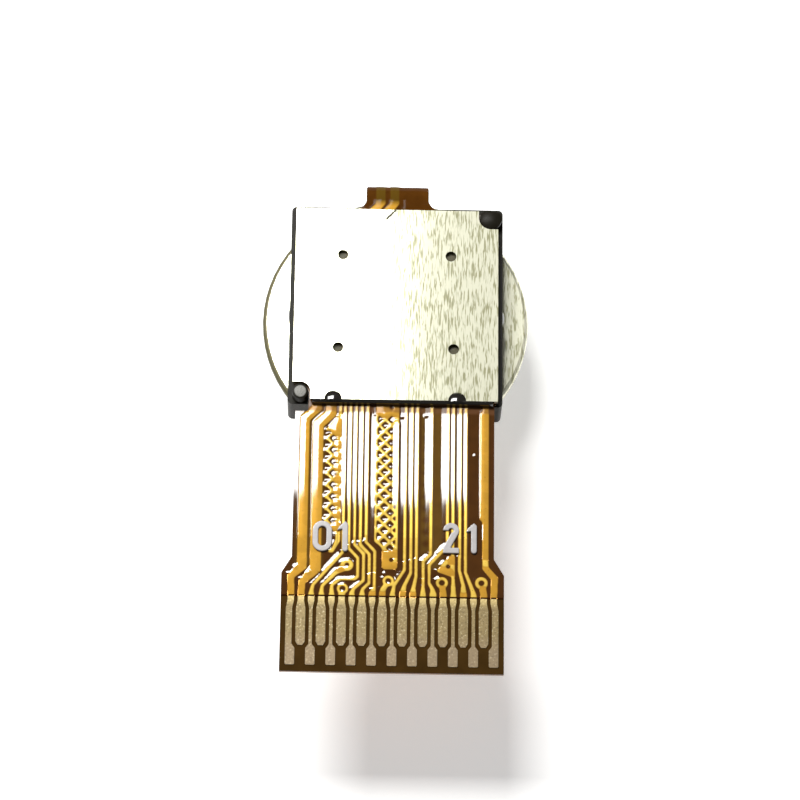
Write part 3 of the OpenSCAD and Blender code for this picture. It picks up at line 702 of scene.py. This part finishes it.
def add_bump(tree, shader, height, distance, strength):
    """Feeds a height into the shader's normal."""
    bump = add_node(tree, "ShaderNodeBump")
    set_inputs(bump, {"Distance": distance, "Strength": strength})
    join(tree, height, bump.inputs["Height"])
    join(tree, bump.outputs["Normal"], shader.inputs["Normal"])


def remap(tree, value, **ends):
    """A clamped Map Range node with some of its ends set."""
    made = add_node(tree, "ShaderNodeMapRange", clamp=True)
    join(tree, value, made.inputs["Value"])
    set_inputs(made, ends)
    return made.outputs["Result"]


def between(tree, value, start, end):
    """A clamped remap of a value from start..end to 0..1."""
    return remap(tree, value, From_Min=start, From_Max=end)


def spread(tree, mask, least, most):
    """A mask spread over a range of values."""
    return remap(tree, mask, To_Min=least, To_Max=most)


# ---- Materials ----
def steel_material(name, sizes, polish, scratch=None, rim=None):
    """Brushed stainless steel with marks along Y; one thin scratch if given, and with rim a painted
    dark reflection on the rim's left side.

    scratch is (start, end, width) and rim is (centre, radius of its inner edge)."""
    material, tree, shader = new_material(name, Metallic=0.42)
    grain = group_of(tree, "grain", Across=1 / sizes.grain_width, Along=1 / sizes.grain_length)
    bright = tuple(sizes.steel_color)
    color = mix_color(tree, grain.outputs["Marks"], bright, (0.46, 0.45, 0.27))
    facing = axes_of(tree, add_node(tree, "ShaderNodeNewGeometry").outputs["Normal"])
    level = math_node(tree, "ABSOLUTE", facing["Z"])
    edge = between(tree, level, 0.92, 0.7)
    if rim:
        centre, radius = rim
        away = distance_to(tree, object_point(tree, (1, 1, 0)), (centre.x, centre.y, 0))
        # Painted dark reflection: an olive band along the rim, and darkened tilted rim faces, on the
        # left side only.
        left_reflection_side = between(tree, axes_of(tree, object_places(tree))["X"], 1.5 * MM, -1.5 * MM)
        rim_reflection_band = times(tree, between(tree, away, radius, radius + 0.015 * MM), left_reflection_side)
        color = mix_color(tree, rim_reflection_band, color, (0.13, 0.115, 0.06))
        edge = times(tree, edge, left_reflection_side)
    color = mix_color(tree, edge, color, (0.1, 0.09, 0.035))
    rough = spread(tree, grain.outputs["Cloud"], *polish)
    if rim:
        rough = math_node(tree, "MAXIMUM", rough, times(tree, rim_reflection_band, 0.6))
    if scratch:
        torn = scratch_mask(tree, *scratch)
        color = mix_color(tree, torn, color, (0.05, 0.045, 0.03))
        rough = math_node(tree, "MAXIMUM", rough, times(tree, torn, 0.8))
    dress(tree, shader, color, rough)
    add_bump(tree, shader, grain.outputs["Height"], 0.0005 * MM, 0.6)
    return material


def scratch_mask(tree, start, end, width):
    """A mask along the line between two points on the plate."""
    span = Vector(end) - Vector(start)
    angle = math.atan2(span.y, span.x)
    turned = add_node(tree, "ShaderNodeMapping", vector_type="TEXTURE")
    turned.inputs["Location"].default_value = (start[0], start[1], 0)
    turned.inputs["Rotation"].default_value = (0, 0, angle)
    join(tree, object_places(tree), turned.inputs["Vector"])
    parts = axes_of(tree, turned.outputs[0])
    wobble = noise(tree, object_point(tree, (9000, 9000, 9000)), 1.0, 2.0)
    aside = math_node(tree, "ABSOLUTE", parts["Y"])
    aside = math_node(tree, "ADD", aside, times(tree, wobble, width * 0.8))
    near = between(tree, aside, width * 1.4, width * 0.6)
    begun = between(tree, parts["X"], 0.0, 0.02 * MM)
    ended = between(tree, parts["X"], span.length, span.length - 0.05 * MM)
    return times(tree, times(tree, near, begun), ended)


def film_material(name, sizes, gloss=(0.75, 1.0), metal_share=0.08, bend_shade=None):
    """Glossy amber film: copper, fine tracks and lower copper are marked on the piece.

    On the neck, a ragged band beside the plate is darkened and dulled, and the film's end is a
    painted shadow line;
    on the tail the copper is painted darker between the two Y places given, as shade where the tail
    bends away."""
    material, tree, shader = new_material(
        name, IOR=1.5, Coat_Roughness=0.04, Coat_IOR=1.6, Specular_IOR_Level=0.0
    )
    copper, deep, fine = (
        add_node(tree, "ShaderNodeAttribute", attribute_name=key).outputs["Fac"]
        for key in ("copper", "deep", "fine")
    )
    specks = group_of(tree, "speckle", Speck_scale=16000, Cloud_scale=2600)
    clouds = specks.outputs["Clouds"]

    def clouded(tone, least, most):
        return mix_color(tree, clouds, tinted(tone, least), tinted(tone, most))

    base = clouded(sizes.base_color, 0.7, 1.5)
    bare = mix_color(tree, deep, base, clouded(sizes.deep_color, 0.8, 1.25))
    metal = clouded(sizes.copper_color, 0.8, 1.15)
    # Fine tracks are painted paler: a painted highlight where thin tracks catch the light.
    narrow = between(tree, fine, 0.3, 0.8)
    metal = mix_color(tree, narrow, metal, clouded(sizes.fine_highlight_color, 0.8, 1.2))
    flecks = between(tree, specks.outputs["Specks"], 0.66, 0.74)
    metal = mix_color(tree, flecks, metal, tinted(sizes.copper_color, 0.45))
    along = axes_of(tree, object_places(tree))["Y"]
    # Painted shade: the copper is darker where the tail bends away past the plate.
    if bend_shade:
        metal = mix_color(tree, between(tree, along, *bend_shade), metal, (0.085, 0.045, 0.005))
    mask = between(tree, copper, 0.3, 0.75)
    color = mix_color(tree, mask, bare, metal)
    shine = spread(tree, specks.outputs["Specks"], *gloss)
    if not bend_shade:
        # A ragged band beside the plate is darkened and loses its coat.
        ragged = times(tree, clouds, 0.16 * MM)
        edge = math_node(tree, "ADD", along, ragged)
        plate_side_band = between(tree, edge, PLATE_LOW.y - 0.3 * MM, PLATE_LOW.y - 0.22 * MM)
        color = mix_color(tree, spread(tree, plate_side_band, 0.0, 0.6), color, (0.13, 0.06, 0.03))
        # Painted shadow: a thin dark line along the film's end.
        end = between(tree, along, COVER_LOW.y + 0.05 * MM, COVER_LOW.y + 0.035 * MM)
        color = mix_color(tree, end, color, (0.03, 0.008, 0.002))
        dull = math_node(tree, "MAXIMUM", times(tree, plate_side_band, 0.85), end)
        shine = times(tree, shine, math_node(tree, "SUBTRACT", 1.0, dull))
    dress(tree, shader, color, spread(tree, clouds, 0.2, 0.34))
    join(tree, spread(tree, mask, 0.0, metal_share), shader.inputs["Metallic"])
    join(tree, shine, shader.inputs["Coat Weight"])
    add_bump(tree, shader, clouds, 0.002 * MM, 0.5)
    return material


def plating_material(sizes):
    """Dull pale gold plating with fine pits."""
    material, tree, shader = new_material("Contact plating", Metallic=0.5)
    specks = group_of(tree, "speckle", Speck_scale=15000, Cloud_scale=3000)
    plain = tuple(sizes.plating_color)
    color = mix_color(tree, specks.outputs["Clouds"], tinted(plain, 0.82), tinted(plain, 1.2))
    pits = between(tree, specks.outputs["Specks"], 0.56, 0.68)
    color = mix_color(tree, spread(tree, pits, 0.0, 0.7), color, tinted(plain, 0.4))
    glints = between(tree, specks.outputs["Specks"], 0.42, 0.32)
    color = mix_color(tree, spread(tree, glints, 0.0, 0.3), color, (0.75, 0.68, 0.45))
    along = axes_of(tree, object_places(tree))["Y"]
    head = between(tree, along, COVER_LOW.y - 0.3 * MM, COVER_LOW.y - 0.05 * MM)
    color = mix_color(tree, spread(tree, head, 0.0, 0.35), color, (0.85, 0.66, 0.26))
    foot = between(tree, along, COVER_LOW.y - 1.1 * MM, COVER_LOW.y - 1.6 * MM)
    color = mix_color(tree, spread(tree, foot, 0.0, 0.4), color, (0.22, 0.16, 0.12))
    dress(tree, shader, color, spread(tree, specks.outputs["Specks"], 0.35, 0.6))
    add_bump(tree, shader, specks.outputs["Specks"], 0.006 * MM, 0.7)
    return material


def plain_material(name, color, roughness=(0.4, 0.6), specks=(20000, 2000), contrast=0.25,
                   bump=0.003 * MM, **plain):
    """A moulded, cast or cut surface with a clouded colour, uneven roughness and a fine skin."""
    material, tree, shader = new_material(name, **plain)
    skin = group_of(tree, "speckle", Speck_scale=specks[0], Cloud_scale=specks[1])
    dark, pale = tinted(color, 1 - contrast), tinted(color, 1 + contrast)
    clouded = mix_color(tree, skin.outputs["Clouds"], dark, pale)
    dress(tree, shader, clouded, spread(tree, skin.outputs["Specks"], *roughness))
    add_bump(tree, shader, skin.outputs["Specks"], bump, 0.6)
    return material


def holder_material():
    """Black moulded plastic, rubbed grey on the post's end."""
    material, tree, shader = new_material("Holder plastic", Specular_IOR_Level=0.1)
    skin = group_of(tree, "speckle", Speck_scale=26000, Cloud_scale=2500)
    color = mix_color(tree, skin.outputs["Clouds"], (0.006, 0.005, 0.003), (0.015, 0.013, 0.008))
    centre = (POST_PLACE.x, POST_PLACE.y, HOLDER_HIGH.z)
    away = distance_to(tree, object_places(tree), centre)
    ragged = times(tree, skin.outputs["Clouds"], 0.08 * MM)
    reach = math_node(tree, "ADD", away, ragged)
    worn = between(tree, reach, 0.235 * MM, 0.205 * MM)
    rubbed = mix_color(tree, skin.outputs["Specks"], (0.1, 0.1, 0.09), (0.42, 0.41, 0.38))
    color = mix_color(tree, worn, color, rubbed)
    dress(tree, shader, color, spread(tree, skin.outputs["Specks"], 0.3, 0.55))
    add_bump(tree, shader, skin.outputs["Specks"], 0.006 * MM, 0.7)
    return material


def paint_plain(node, name, *look, **plain):
    """Gives a CAD node a plain material of its own."""
    paint(node, plain_material(name, *look, **plain))


# ---- Operators: one for each piece or group of like pieces ----
class PieceOperator:
    """Shared settings of the operators that build pieces."""

    bl_options = {"REGISTER", "UNDO"}


class MODULE_OT_back_plate(PieceOperator, bpy.types.Operator):
    """Stamped back plate: the frame's plate with rounded edges and a brushed finish"""

    bl_idname = "camera_module.back_plate"
    bl_label = "Back plate"

    def execute(self, context):
        sizes = context.scene.module_metal
        plate = copy_of("back_plate", "back_plate_skin")
        round_holes(plate)
        bevel_edges(plate, sizes.edge_bevel, 2)
        smooth(plate, 18)
        start = (-0.04 * MM, PLATE_HIGH.y, 0)
        end = (-0.38 * MM, PLATE_HIGH.y - 0.36 * MM, 0)
        steel = steel_material("Plate steel", sizes, (0.07, 0.1), scratch=(start, end, 0.07 * MM))
        finish_piece(plate, "plate_steel", steel, "back_plate")
        return {"FINISHED"}


class MODULE_OT_front_disc(PieceOperator, bpy.types.Operator):
    """Thin steel disc around the tower, brushed, with a rounded rim"""

    bl_idname = "camera_module.front_disc"
    bl_label = "Front disc"

    def execute(self, context):
        centre = (low("front_disc") + high("front_disc")) / 2
        inner = high("front_disc").x - centre.x - 0.14 * MM
        sizes = context.scene.module_metal
        # The rim gets a painted dark reflection on the disc's left side.
        steel = steel_material("Disc steel", sizes, (0.15, 0.18), rim=(centre, inner))
        paint("front_disc", steel)
        return {"FINISHED"}


class MODULE_OT_lens_holder(PieceOperator, bpy.types.Operator):
    """Moulded holder with softened edges"""

    bl_idname = "camera_module.lens_holder"
    bl_label = "Lens holder"

    def execute(self, context):
        holder = rounded_copy("lens_holder", "lens_holder_skin", 0.02 * MM, 50)
        finish_piece(holder, "holder_plastic", holder_material(), "lens_holder")
        return {"FINISHED"}


class MODULE_OT_cover_film(PieceOperator, bpy.types.Operator):
    """Cover film of the neck, draped over the copper tracks, and its flat part under the plate"""

    bl_idname = "camera_module.cover_film"
    bl_label = "Cover film"

    def execute(self, context):
        sizes = context.scene.module_film
        material = film_material("Cover film", sizes)
        neck_half = high("edge_bead").x + 0.05 * MM
        tip_half = COVER_HIGH.x
        line_y = COVER_LOW.y
        top_y = PLATE_LOW.y + 0.05 * MM
        shoulder = (line_y + 0.72 * MM, line_y + 1.22 * MM)

        def half_width(y):
            t = min(1.0, max(0.0, (y - shoulder[0]) / (shoulder[1] - shoulder[0])))
            return tip_half + (neck_half - tip_half) * t

        def place(u, v):
            y = line_y + (top_y - line_y) * v
            return Vector(((2 * u - 1) * half_width(y), y, COVER_HIGH.z)), Vector((0, 0, 1))

        def ripple(places):
            x, y = places[..., 0] / MM, places[..., 1] / MM
            wave = 0.5 + 0.5 * np.sin(2.1 * x + 0.6 * y) * np.sin(1.3 * y + 0.5)
            lump = sum(np.exp(-((x - a) ** 2 + (y - b) ** 2) / (2 * LUMP_SPREAD ** 2))
                       for a, b in LUMPS)
            return 0.003 * MM * wave - LUMP_RISE * np.minimum(lump, 1)

        def relief(places):
            return 0.3 + 0.7 * np.clip((places[..., 1] / MM + 8.0) / 0.5, 0, 1)

        sheets = {
            "copper": (solid_tree("copper_tracks"), 0.07 * MM),
            "deep": (solid_tree("lower_copper"), 0.3 * MM),
        }
        rows = int((top_y - line_y) / COVER_STEP)
        columns = int(2 * neck_half / COVER_STEP)
        slope, width = int(sizes.ramp / COVER_STEP), int(BROAD_TRACK / COVER_STEP)
        sag = sizes.cover_sag
        film = film_grid(
            "cover_film", rows, columns, place, sheets, sag, relief, slope, width, ripple
        )
        trim_to(film, solid_tree("coverlay"), 0.2 * MM)
        outward_open(film)
        close_down(film, COPPER_FOOT)
        outward(film)
        smooth(film, 60)
        finish_piece(film, "cover_film", material, "coverlay")

        head = copy_of("coverlay", "cover_film_head")
        start_edit(head)
        bpy.ops.mesh.bisect(
            plane_co=(0, top_y, 0), plane_no=(0, 1, 0), use_fill=True, clear_inner=True
        )
        end_edit()
        dark = plain_material("Film edge", (0.12, 0.05, 0.012), (0.2, 0.35))
        finish_piece(head, "cover_film", dark, "coverlay")
        return {"FINISHED"}


class MODULE_OT_tail(PieceOperator, bpy.types.Operator):
    """Folded ground tail, draped over its two tracks"""

    bl_idname = "camera_module.tail"
    bl_label = "Folded tail"

    def execute(self, context):
        sizes = context.scene.module_film
        root_y = PLATE_HIGH.y - 0.05 * MM
        top_z = TAIL_HIGH.z
        radius = (TAIL_HIGH.z - TAIL_LOW.z) / 2
        fold_y = TAIL_HIGH.y - radius
        half = high("tail_bond").x + 0.03 * MM
        flare = TAIL_HIGH.x - half + 0.08 * MM
        flat = fold_y - root_y
        total = flat + math.pi * radius

        def place(u, v):
            along = v * total
            side = 2 * u - 1
            if along < flat:
                rise = min(flare, max(0.0, flare + PLATE_HIGH.y + 0.06 * MM - root_y - along))
                wide = half + (flare - math.sqrt(flare ** 2 - rise ** 2) if rise > 0 else 0)
                return Vector((side * wide, root_y + along, top_z)), Vector((0, 0, 1))
            angle = (along - flat) / radius
            way = Vector((0, math.sin(angle), math.cos(angle)))
            return Vector((side * half, fold_y, top_z - radius)) + way * radius, way

        def ripple(places):
            return 0.002 * MM * (1 + np.sin(9 * places[..., 0] / MM + 5 * places[..., 2] / MM))

        sheets = {
            "copper": (solid_tree("tail_tracks", "copper_tracks"), 0.07 * MM),
            "deep": (solid_tree("lower_copper"), 0.1 * MM),
        }

        def relief(places):
            return np.ones(places.shape[:2])

        rows, columns = int(total / TAIL_STEP), int(2 * half / TAIL_STEP)
        tail = film_grid("tail_film", rows, columns, place, sheets, TAIL_SAG, relief, 2, 4, ripple)
        outward_open(tail)
        add_modifier(tail, "SOLIDIFY", thickness=TAIL_FILM, offset=-1.0, use_rim=True)
        outward(tail)
        smooth(tail, 60)
        # Y span over which the tail's copper is painted darker, as shade where the tail bends away.
        bend_shade = (PLATE_HIGH.y + 0.2 * MM, PLATE_HIGH.y + 0.42 * MM)
        material = film_material("Tail film", sizes, (0.02, 0.1), 0.0, bend_shade)
        finish_piece(tail, "cover_film", material, "tail_cover")
        paint_plain("tail_tracks", "Tail copper", (0.6, 0.3, 0.08), (0.3, 0.45), Metallic=0.8)
        return {"FINISHED"}


class MODULE_OT_base_film(PieceOperator, bpy.types.Operator):
    """Polyimide base film, lower film, stiffener and the layers that only show at their edges"""

    bl_idname = "camera_module.base_film"
    bl_label = "Base film and stiffener"

    def execute(self, context):
        paint_plain("flex_film", "Polyimide", (0.052, 0.026, 0.006), (0.3, 0.45), (9000, 1800), 0.4,
                    Specular_IOR_Level=0.0, Coat_Weight=0.08, Coat_Roughness=0.06)
        paint_plain("lower_cover", "Lower film", (0.3, 0.13, 0.025), (0.2, 0.35), (9000, 1800), 0.3,
                    Coat_Weight=0.6, Coat_Roughness=0.1)
        paint_plain("contact_stiffener", "Stiffener", (0.28, 0.11, 0.02), (0.2, 0.35), (9000, 1800),
                    0.3, Coat_Weight=0.6, Coat_Roughness=0.1)
        paint_plain("copper_tracks", "Bare copper", (0.8, 0.4, 0.1), (0.3, 0.5), Metallic=0.9)
        paint_plain("lower_copper", "Lower copper", (0.8, 0.42, 0.14), (0.3, 0.5), Metallic=0.9)
        paint_plain("disc_film", "Disc adhesive", (0.03, 0.03, 0.03), (0.5, 0.8))
        paint_plain("plate_film", "Plate adhesive", (0.06, 0.052, 0.022), (0.25, 0.4),
                    (12000, 6000), 0.5, 0.02 * MM, Specular_IOR_Level=0.15)
        paint_plain("tail_bond", "Silver epoxy", (0.45, 0.44, 0.42), (0.4, 0.6), Metallic=0.7)
        return {"FINISHED"}


class MODULE_OT_contacts(PieceOperator, bpy.types.Operator):
    """Plated contacts with etched, slightly rounded edges"""

    bl_idname = "camera_module.contacts"
    bl_label = "Contacts"

    def execute(self, context):
        pads = rounded_copy("contact_pads", "contact_plating", 0.012 * MM)
        plating = plating_material(context.scene.module_metal)
        finish_piece(pads, "contact_plating", plating, "contact_pads")
        return {"FINISHED"}


class MODULE_OT_pin_numbers(PieceOperator, bpy.types.Operator):
    """Thick printed pin numbers with rounded strokes"""

    bl_idname = "camera_module.pin_numbers"
    bl_label = "Pin numbers"

    def execute(self, context):
        rise = context.scene.module_glue.ink_rise
        numbers = copy_of("pin_numbers", "pin_numbers_ink")
        foot, top = low("pin_numbers").z, high("pin_numbers").z
        middle = (foot + top) / 2
        for vertex in numbers.data.vertices:
            vertex.co.z = foot + rise if vertex.co.z > middle else foot - rise
        numbers.data.update()
        resize(numbers, 1 / MM)
        add_modifier(numbers, "REMESH", mode="VOXEL", voxel_size=0.012, adaptivity=0.0)
        add_modifier(numbers, "SMOOTH", factor=0.5, iterations=6)
        resize(numbers, MM)
        smooth(numbers, 70)
        ink = plain_material("Legend ink", (0.43, 0.41, 0.41), (0.25, 0.4), (14000, 4000), 0.2,
                             0.004 * MM, Specular_IOR_Level=0.3, Coat_Weight=0.3,
                             Coat_Roughness=0.1)
        finish_piece(numbers, "legend_ink", ink, "pin_numbers")
        return {"FINISHED"}


class MODULE_OT_glue(PieceOperator, bpy.types.Operator):
    """Black epoxy: the bead along the plate and the four glossy dots"""

    bl_idname = "camera_module.glue"
    bl_label = "Bead and glue dots"

    def execute(self, context):
        swell = context.scene.module_glue.bead_swell
        epoxy = plain_material("Black epoxy", (0.012, 0.01, 0.008), (0.06, 0.16), (5000, 2500), 0.4,
                               0.006 * MM, Coat_Weight=0.6, Coat_Roughness=0.05)
        start, end = low("edge_bead"), high("edge_bead")
        bead = copy_of("edge_bead", "edge_bead_skin")
        start_edit(bead)
        for cut in range(1, BEAD_SLICES):
            x = start.x + cut / BEAD_SLICES * (end.x - start.x)
            bpy.ops.mesh.select_all(action="SELECT")
            bpy.ops.mesh.bisect(plane_co=(x, 0, 0), plane_no=(1, 0, 0), use_fill=False)
        end_edit()
        wall = PLATE_LOW.y
        foot = start.z + 0.01 * MM
        for vertex in bead.data.vertices:
            x = vertex.co.x / MM
            wave = 0.6 * math.sin(2.3 * x + 0.7) + 0.4 * math.sin(6.1 * x + 2.0)
            if vertex.co.y < wall - 0.02 * MM and vertex.co.z < foot:
                vertex.co.y -= swell * (0.5 + 0.5 * wave)
            elif vertex.co.z > foot:
                vertex.co.z -= 0.012 * MM * (1 - wave)
        bead.data.update()
        smooth(bead, 60)
        finish_piece(bead, "black_epoxy", epoxy, "edge_bead")

        dots = copy_of("glue_dots", "glue_dots_skin")
        smooth(dots, 60)
        finish_piece(dots, "black_epoxy", epoxy, "glue_dots")
        return {"FINISHED"}


class MODULE_OT_optics(PieceOperator, bpy.types.Operator):
    """Barrel, lenses, rings, sensor and the rest of what the holder encloses"""

    bl_idname = "camera_module.optics"
    bl_label = "Optics and sensor"

    def execute(self, context):
        barrel = rounded_copy("lens_barrel", "lens_barrel_skin", 0.025 * MM, 50)
        black = plain_material("Barrel plastic", (0.012, 0.012, 0.012), (0.35, 0.6),
                               (30000, 4000), 0.3)
        finish_piece(barrel, "barrel_plastic", black, "lens_barrel")
        paint("spacer_ring", black)
        paint("retainer_ring", black)
        paint_plain("light_baffles", "Shade film", (0.006, 0.006, 0.006), (0.6, 0.9))
        tints = ((0.75, 0.6, 0.95), (0.7, 0.9, 0.8), (0.8, 0.85, 0.95), (0.8, 0.95, 0.85))
        for index, tint in enumerate(tints):
            glass, tree, shader = new_material(
                f"Lens glass {index + 1}",
                Transmission_Weight=0.85, IOR=1.53, Coat_Weight=0.8, Coat_Roughness=0.02,
            )
            skin = group_of(tree, "speckle", Speck_scale=8000, Cloud_scale=600)
            color = mix_color(tree, skin.outputs["Clouds"], tint, tinted(tint, 1.08))
            dress(tree, shader, color, spread(tree, skin.outputs["Specks"], 0.01, 0.05))
            paint(f"lens_{index + 1}", glass)
        paint_plain("thread_lock", "Thread glue", (0.5, 0.48, 0.38), (0.15, 0.3), (6000, 3000), 0.2,
                    Coat_Weight=0.4)
        paint_plain("filter_glue", "Filter glue", (0.5, 0.48, 0.4), (0.2, 0.4))
        paint_plain("ir_filter", "Filter glass", (0.35, 0.62, 0.58), (0.02, 0.08), (6000, 800), 0.1,
                    0.0005 * MM, Coat_Weight=1.0, Coat_Roughness=0.02)
        paint_plain("image_sensor", "Silicon", (0.09, 0.1, 0.13), (0.08, 0.2), (40000, 3000), 0.3,
                    0.001 * MM, Metallic=0.4)
        paint_plain("pixel_array", "Colour filter", (0.08, 0.05, 0.14), (0.1, 0.3), (60000, 900),
                    0.4, 0.001 * MM, Metallic=0.3)
        paint_plain("die_attach", "Die adhesive", (0.35, 0.35, 0.33), (0.5, 0.7))
        paint_plain("bond_wires", "Gold wire", (0.85, 0.55, 0.16), (0.15, 0.25), Metallic=1.0)
        paint_plain("capacitors", "Capacitor body", (0.28, 0.17, 0.08), (0.4, 0.6), (20000, 2500),
                    0.3)
        return {"FINISHED"}


class MODULE_OT_stage(PieceOperator, bpy.types.Operator):
    """Pale floor, soft lights and the camera"""

    bl_idname = "camera_module.stage"
    bl_label = "Stage"

    def execute(self, context):
        self.add_floor()
        self.add_lights(context)
        self.add_camera(context)
        return {"FINISHED"}

    def add_floor(self):
        place = (0, 0, BARREL_LOW.z - 0.002 * MM)
        bpy.ops.mesh.primitive_plane_add(size=400 * MM, location=place)
        floor = bpy.context.active_object
        floor.name = floor.data.name = "pale_floor"
        settle(floor)
        material, tree, shader = new_material(
            "Pale floor", Roughness=0.85, Specular_IOR_Level=0.1,
            Emission_Color=(1.0, 1.0, 1.0), Emission_Strength=0.45,
        )
        cloud = noise(tree, object_point(tree, (60, 60, 60)), 1.0, 2.0)
        color = mix_color(tree, cloud, (0.93, 0.93, 0.93), (0.97, 0.97, 0.97))
        join(tree, color, shader.inputs["Base Color"])
        floor.data.materials.append(material)
        deselect()

    def add_lights(self, context):
        world = bpy.data.worlds.new("Studio")
        context.scene.world = world
        world.use_nodes = True
        back = world.node_tree.nodes["Background"]
        back.inputs["Color"].default_value = (1, 1, 0.99, 1)
        back.inputs["Strength"].default_value = WORLD_LIGHT
        self.add_lamp(context, "key_panel", *KEY_PANEL)
        self.add_lamp(context, "fill_panel", *FILL_PANEL)

    def add_lamp(self, context, name, left, right, near, far, height, power):
        """A level rectangular panel that shines down."""
        data = bpy.data.lights.new(name, "AREA")
        data.shape = "RECTANGLE"
        data.size, data.size_y = right - left, far - near
        data.energy = power
        data.color = (1, 1, 0.985)
        lamp = bpy.data.objects.new(name, data)
        lamp.location = ((left + right) / 2, (near + far) / 2, height)
        context.scene.collection.objects.link(lamp)

    def add_camera(self, context):
        turn = Matrix.Identity(3)
        for axis, degrees in CAMERA_TURNS:
            turn = turn @ Matrix.Rotation(math.radians(degrees), 3, axis)
        data = bpy.data.cameras.new("camera")
        data.sensor_width = 36
        data.lens = CAMERA_LENS
        data.clip_start = 0.001
        data.clip_end = 10
        camera = bpy.data.objects.new("camera", data)
        place = CAMERA_AIM + turn.col[2] * CAMERA_DISTANCE
        camera.matrix_world = Matrix.Translation(place) @ turn.to_4x4()
        context.scene.collection.objects.link(camera)
        context.scene.camera = camera
        context.scene.view_settings.view_transform = "Standard"


class MODULE_PT_panel(bpy.types.Panel):
    """Lists the steps that dress the module"""

    bl_idname = "MODULE_PT_panel"
    bl_label = "Camera Module"
    bl_space_type = "VIEW_3D"
    bl_region_type = "UI"
    bl_category = "Camera Module"

    def draw(self, context):
        scene = context.scene
        for group in (scene.module_film, scene.module_metal, scene.module_glue):
            box = self.layout.box()
            for key in group.bl_rna.properties.keys():
                if key not in {"rna_type", "name"}:
                    box.prop(group, key)
        for step in STEPS:
            self.layout.operator(step.bl_idname)


STEPS = (
    MODULE_OT_back_plate,
    MODULE_OT_front_disc,
    MODULE_OT_lens_holder,
    MODULE_OT_cover_film,
    MODULE_OT_tail,
    MODULE_OT_base_film,
    MODULE_OT_contacts,
    MODULE_OT_pin_numbers,
    MODULE_OT_glue,
    MODULE_OT_optics,
    MODULE_OT_stage,
)
CLASSES = (FilmSizes, MetalSizes, GlueSizes, *STEPS, MODULE_PT_panel)


def register():
    """Registers the classes and the settings on the scene."""
    for cls in CLASSES:
        bpy.utils.register_class(cls)
    bpy.types.Scene.module_film = PointerProperty(type=FilmSizes)
    bpy.types.Scene.module_metal = PointerProperty(type=MetalSizes)
    bpy.types.Scene.module_glue = PointerProperty(type=GlueSizes)


def unregister():
    """Removes the settings and the classes."""
    del bpy.types.Scene.module_glue
    del bpy.types.Scene.module_metal
    del bpy.types.Scene.module_film
    for cls in reversed(CLASSES):
        bpy.utils.unregister_class(cls)


def main():
    """Registers the add-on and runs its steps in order."""
    register()
    deselect()
    bpy.ops.camera_module.back_plate()
    bpy.ops.camera_module.front_disc()
    bpy.ops.camera_module.lens_holder()
    bpy.ops.camera_module.cover_film()
    bpy.ops.camera_module.tail()
    bpy.ops.camera_module.base_film()
    bpy.ops.camera_module.contacts()
    bpy.ops.camera_module.pin_numbers()
    bpy.ops.camera_module.glue()
    bpy.ops.camera_module.optics()
    bpy.ops.camera_module.stage()
    deselect()


if __name__ == "__main__":
    main()
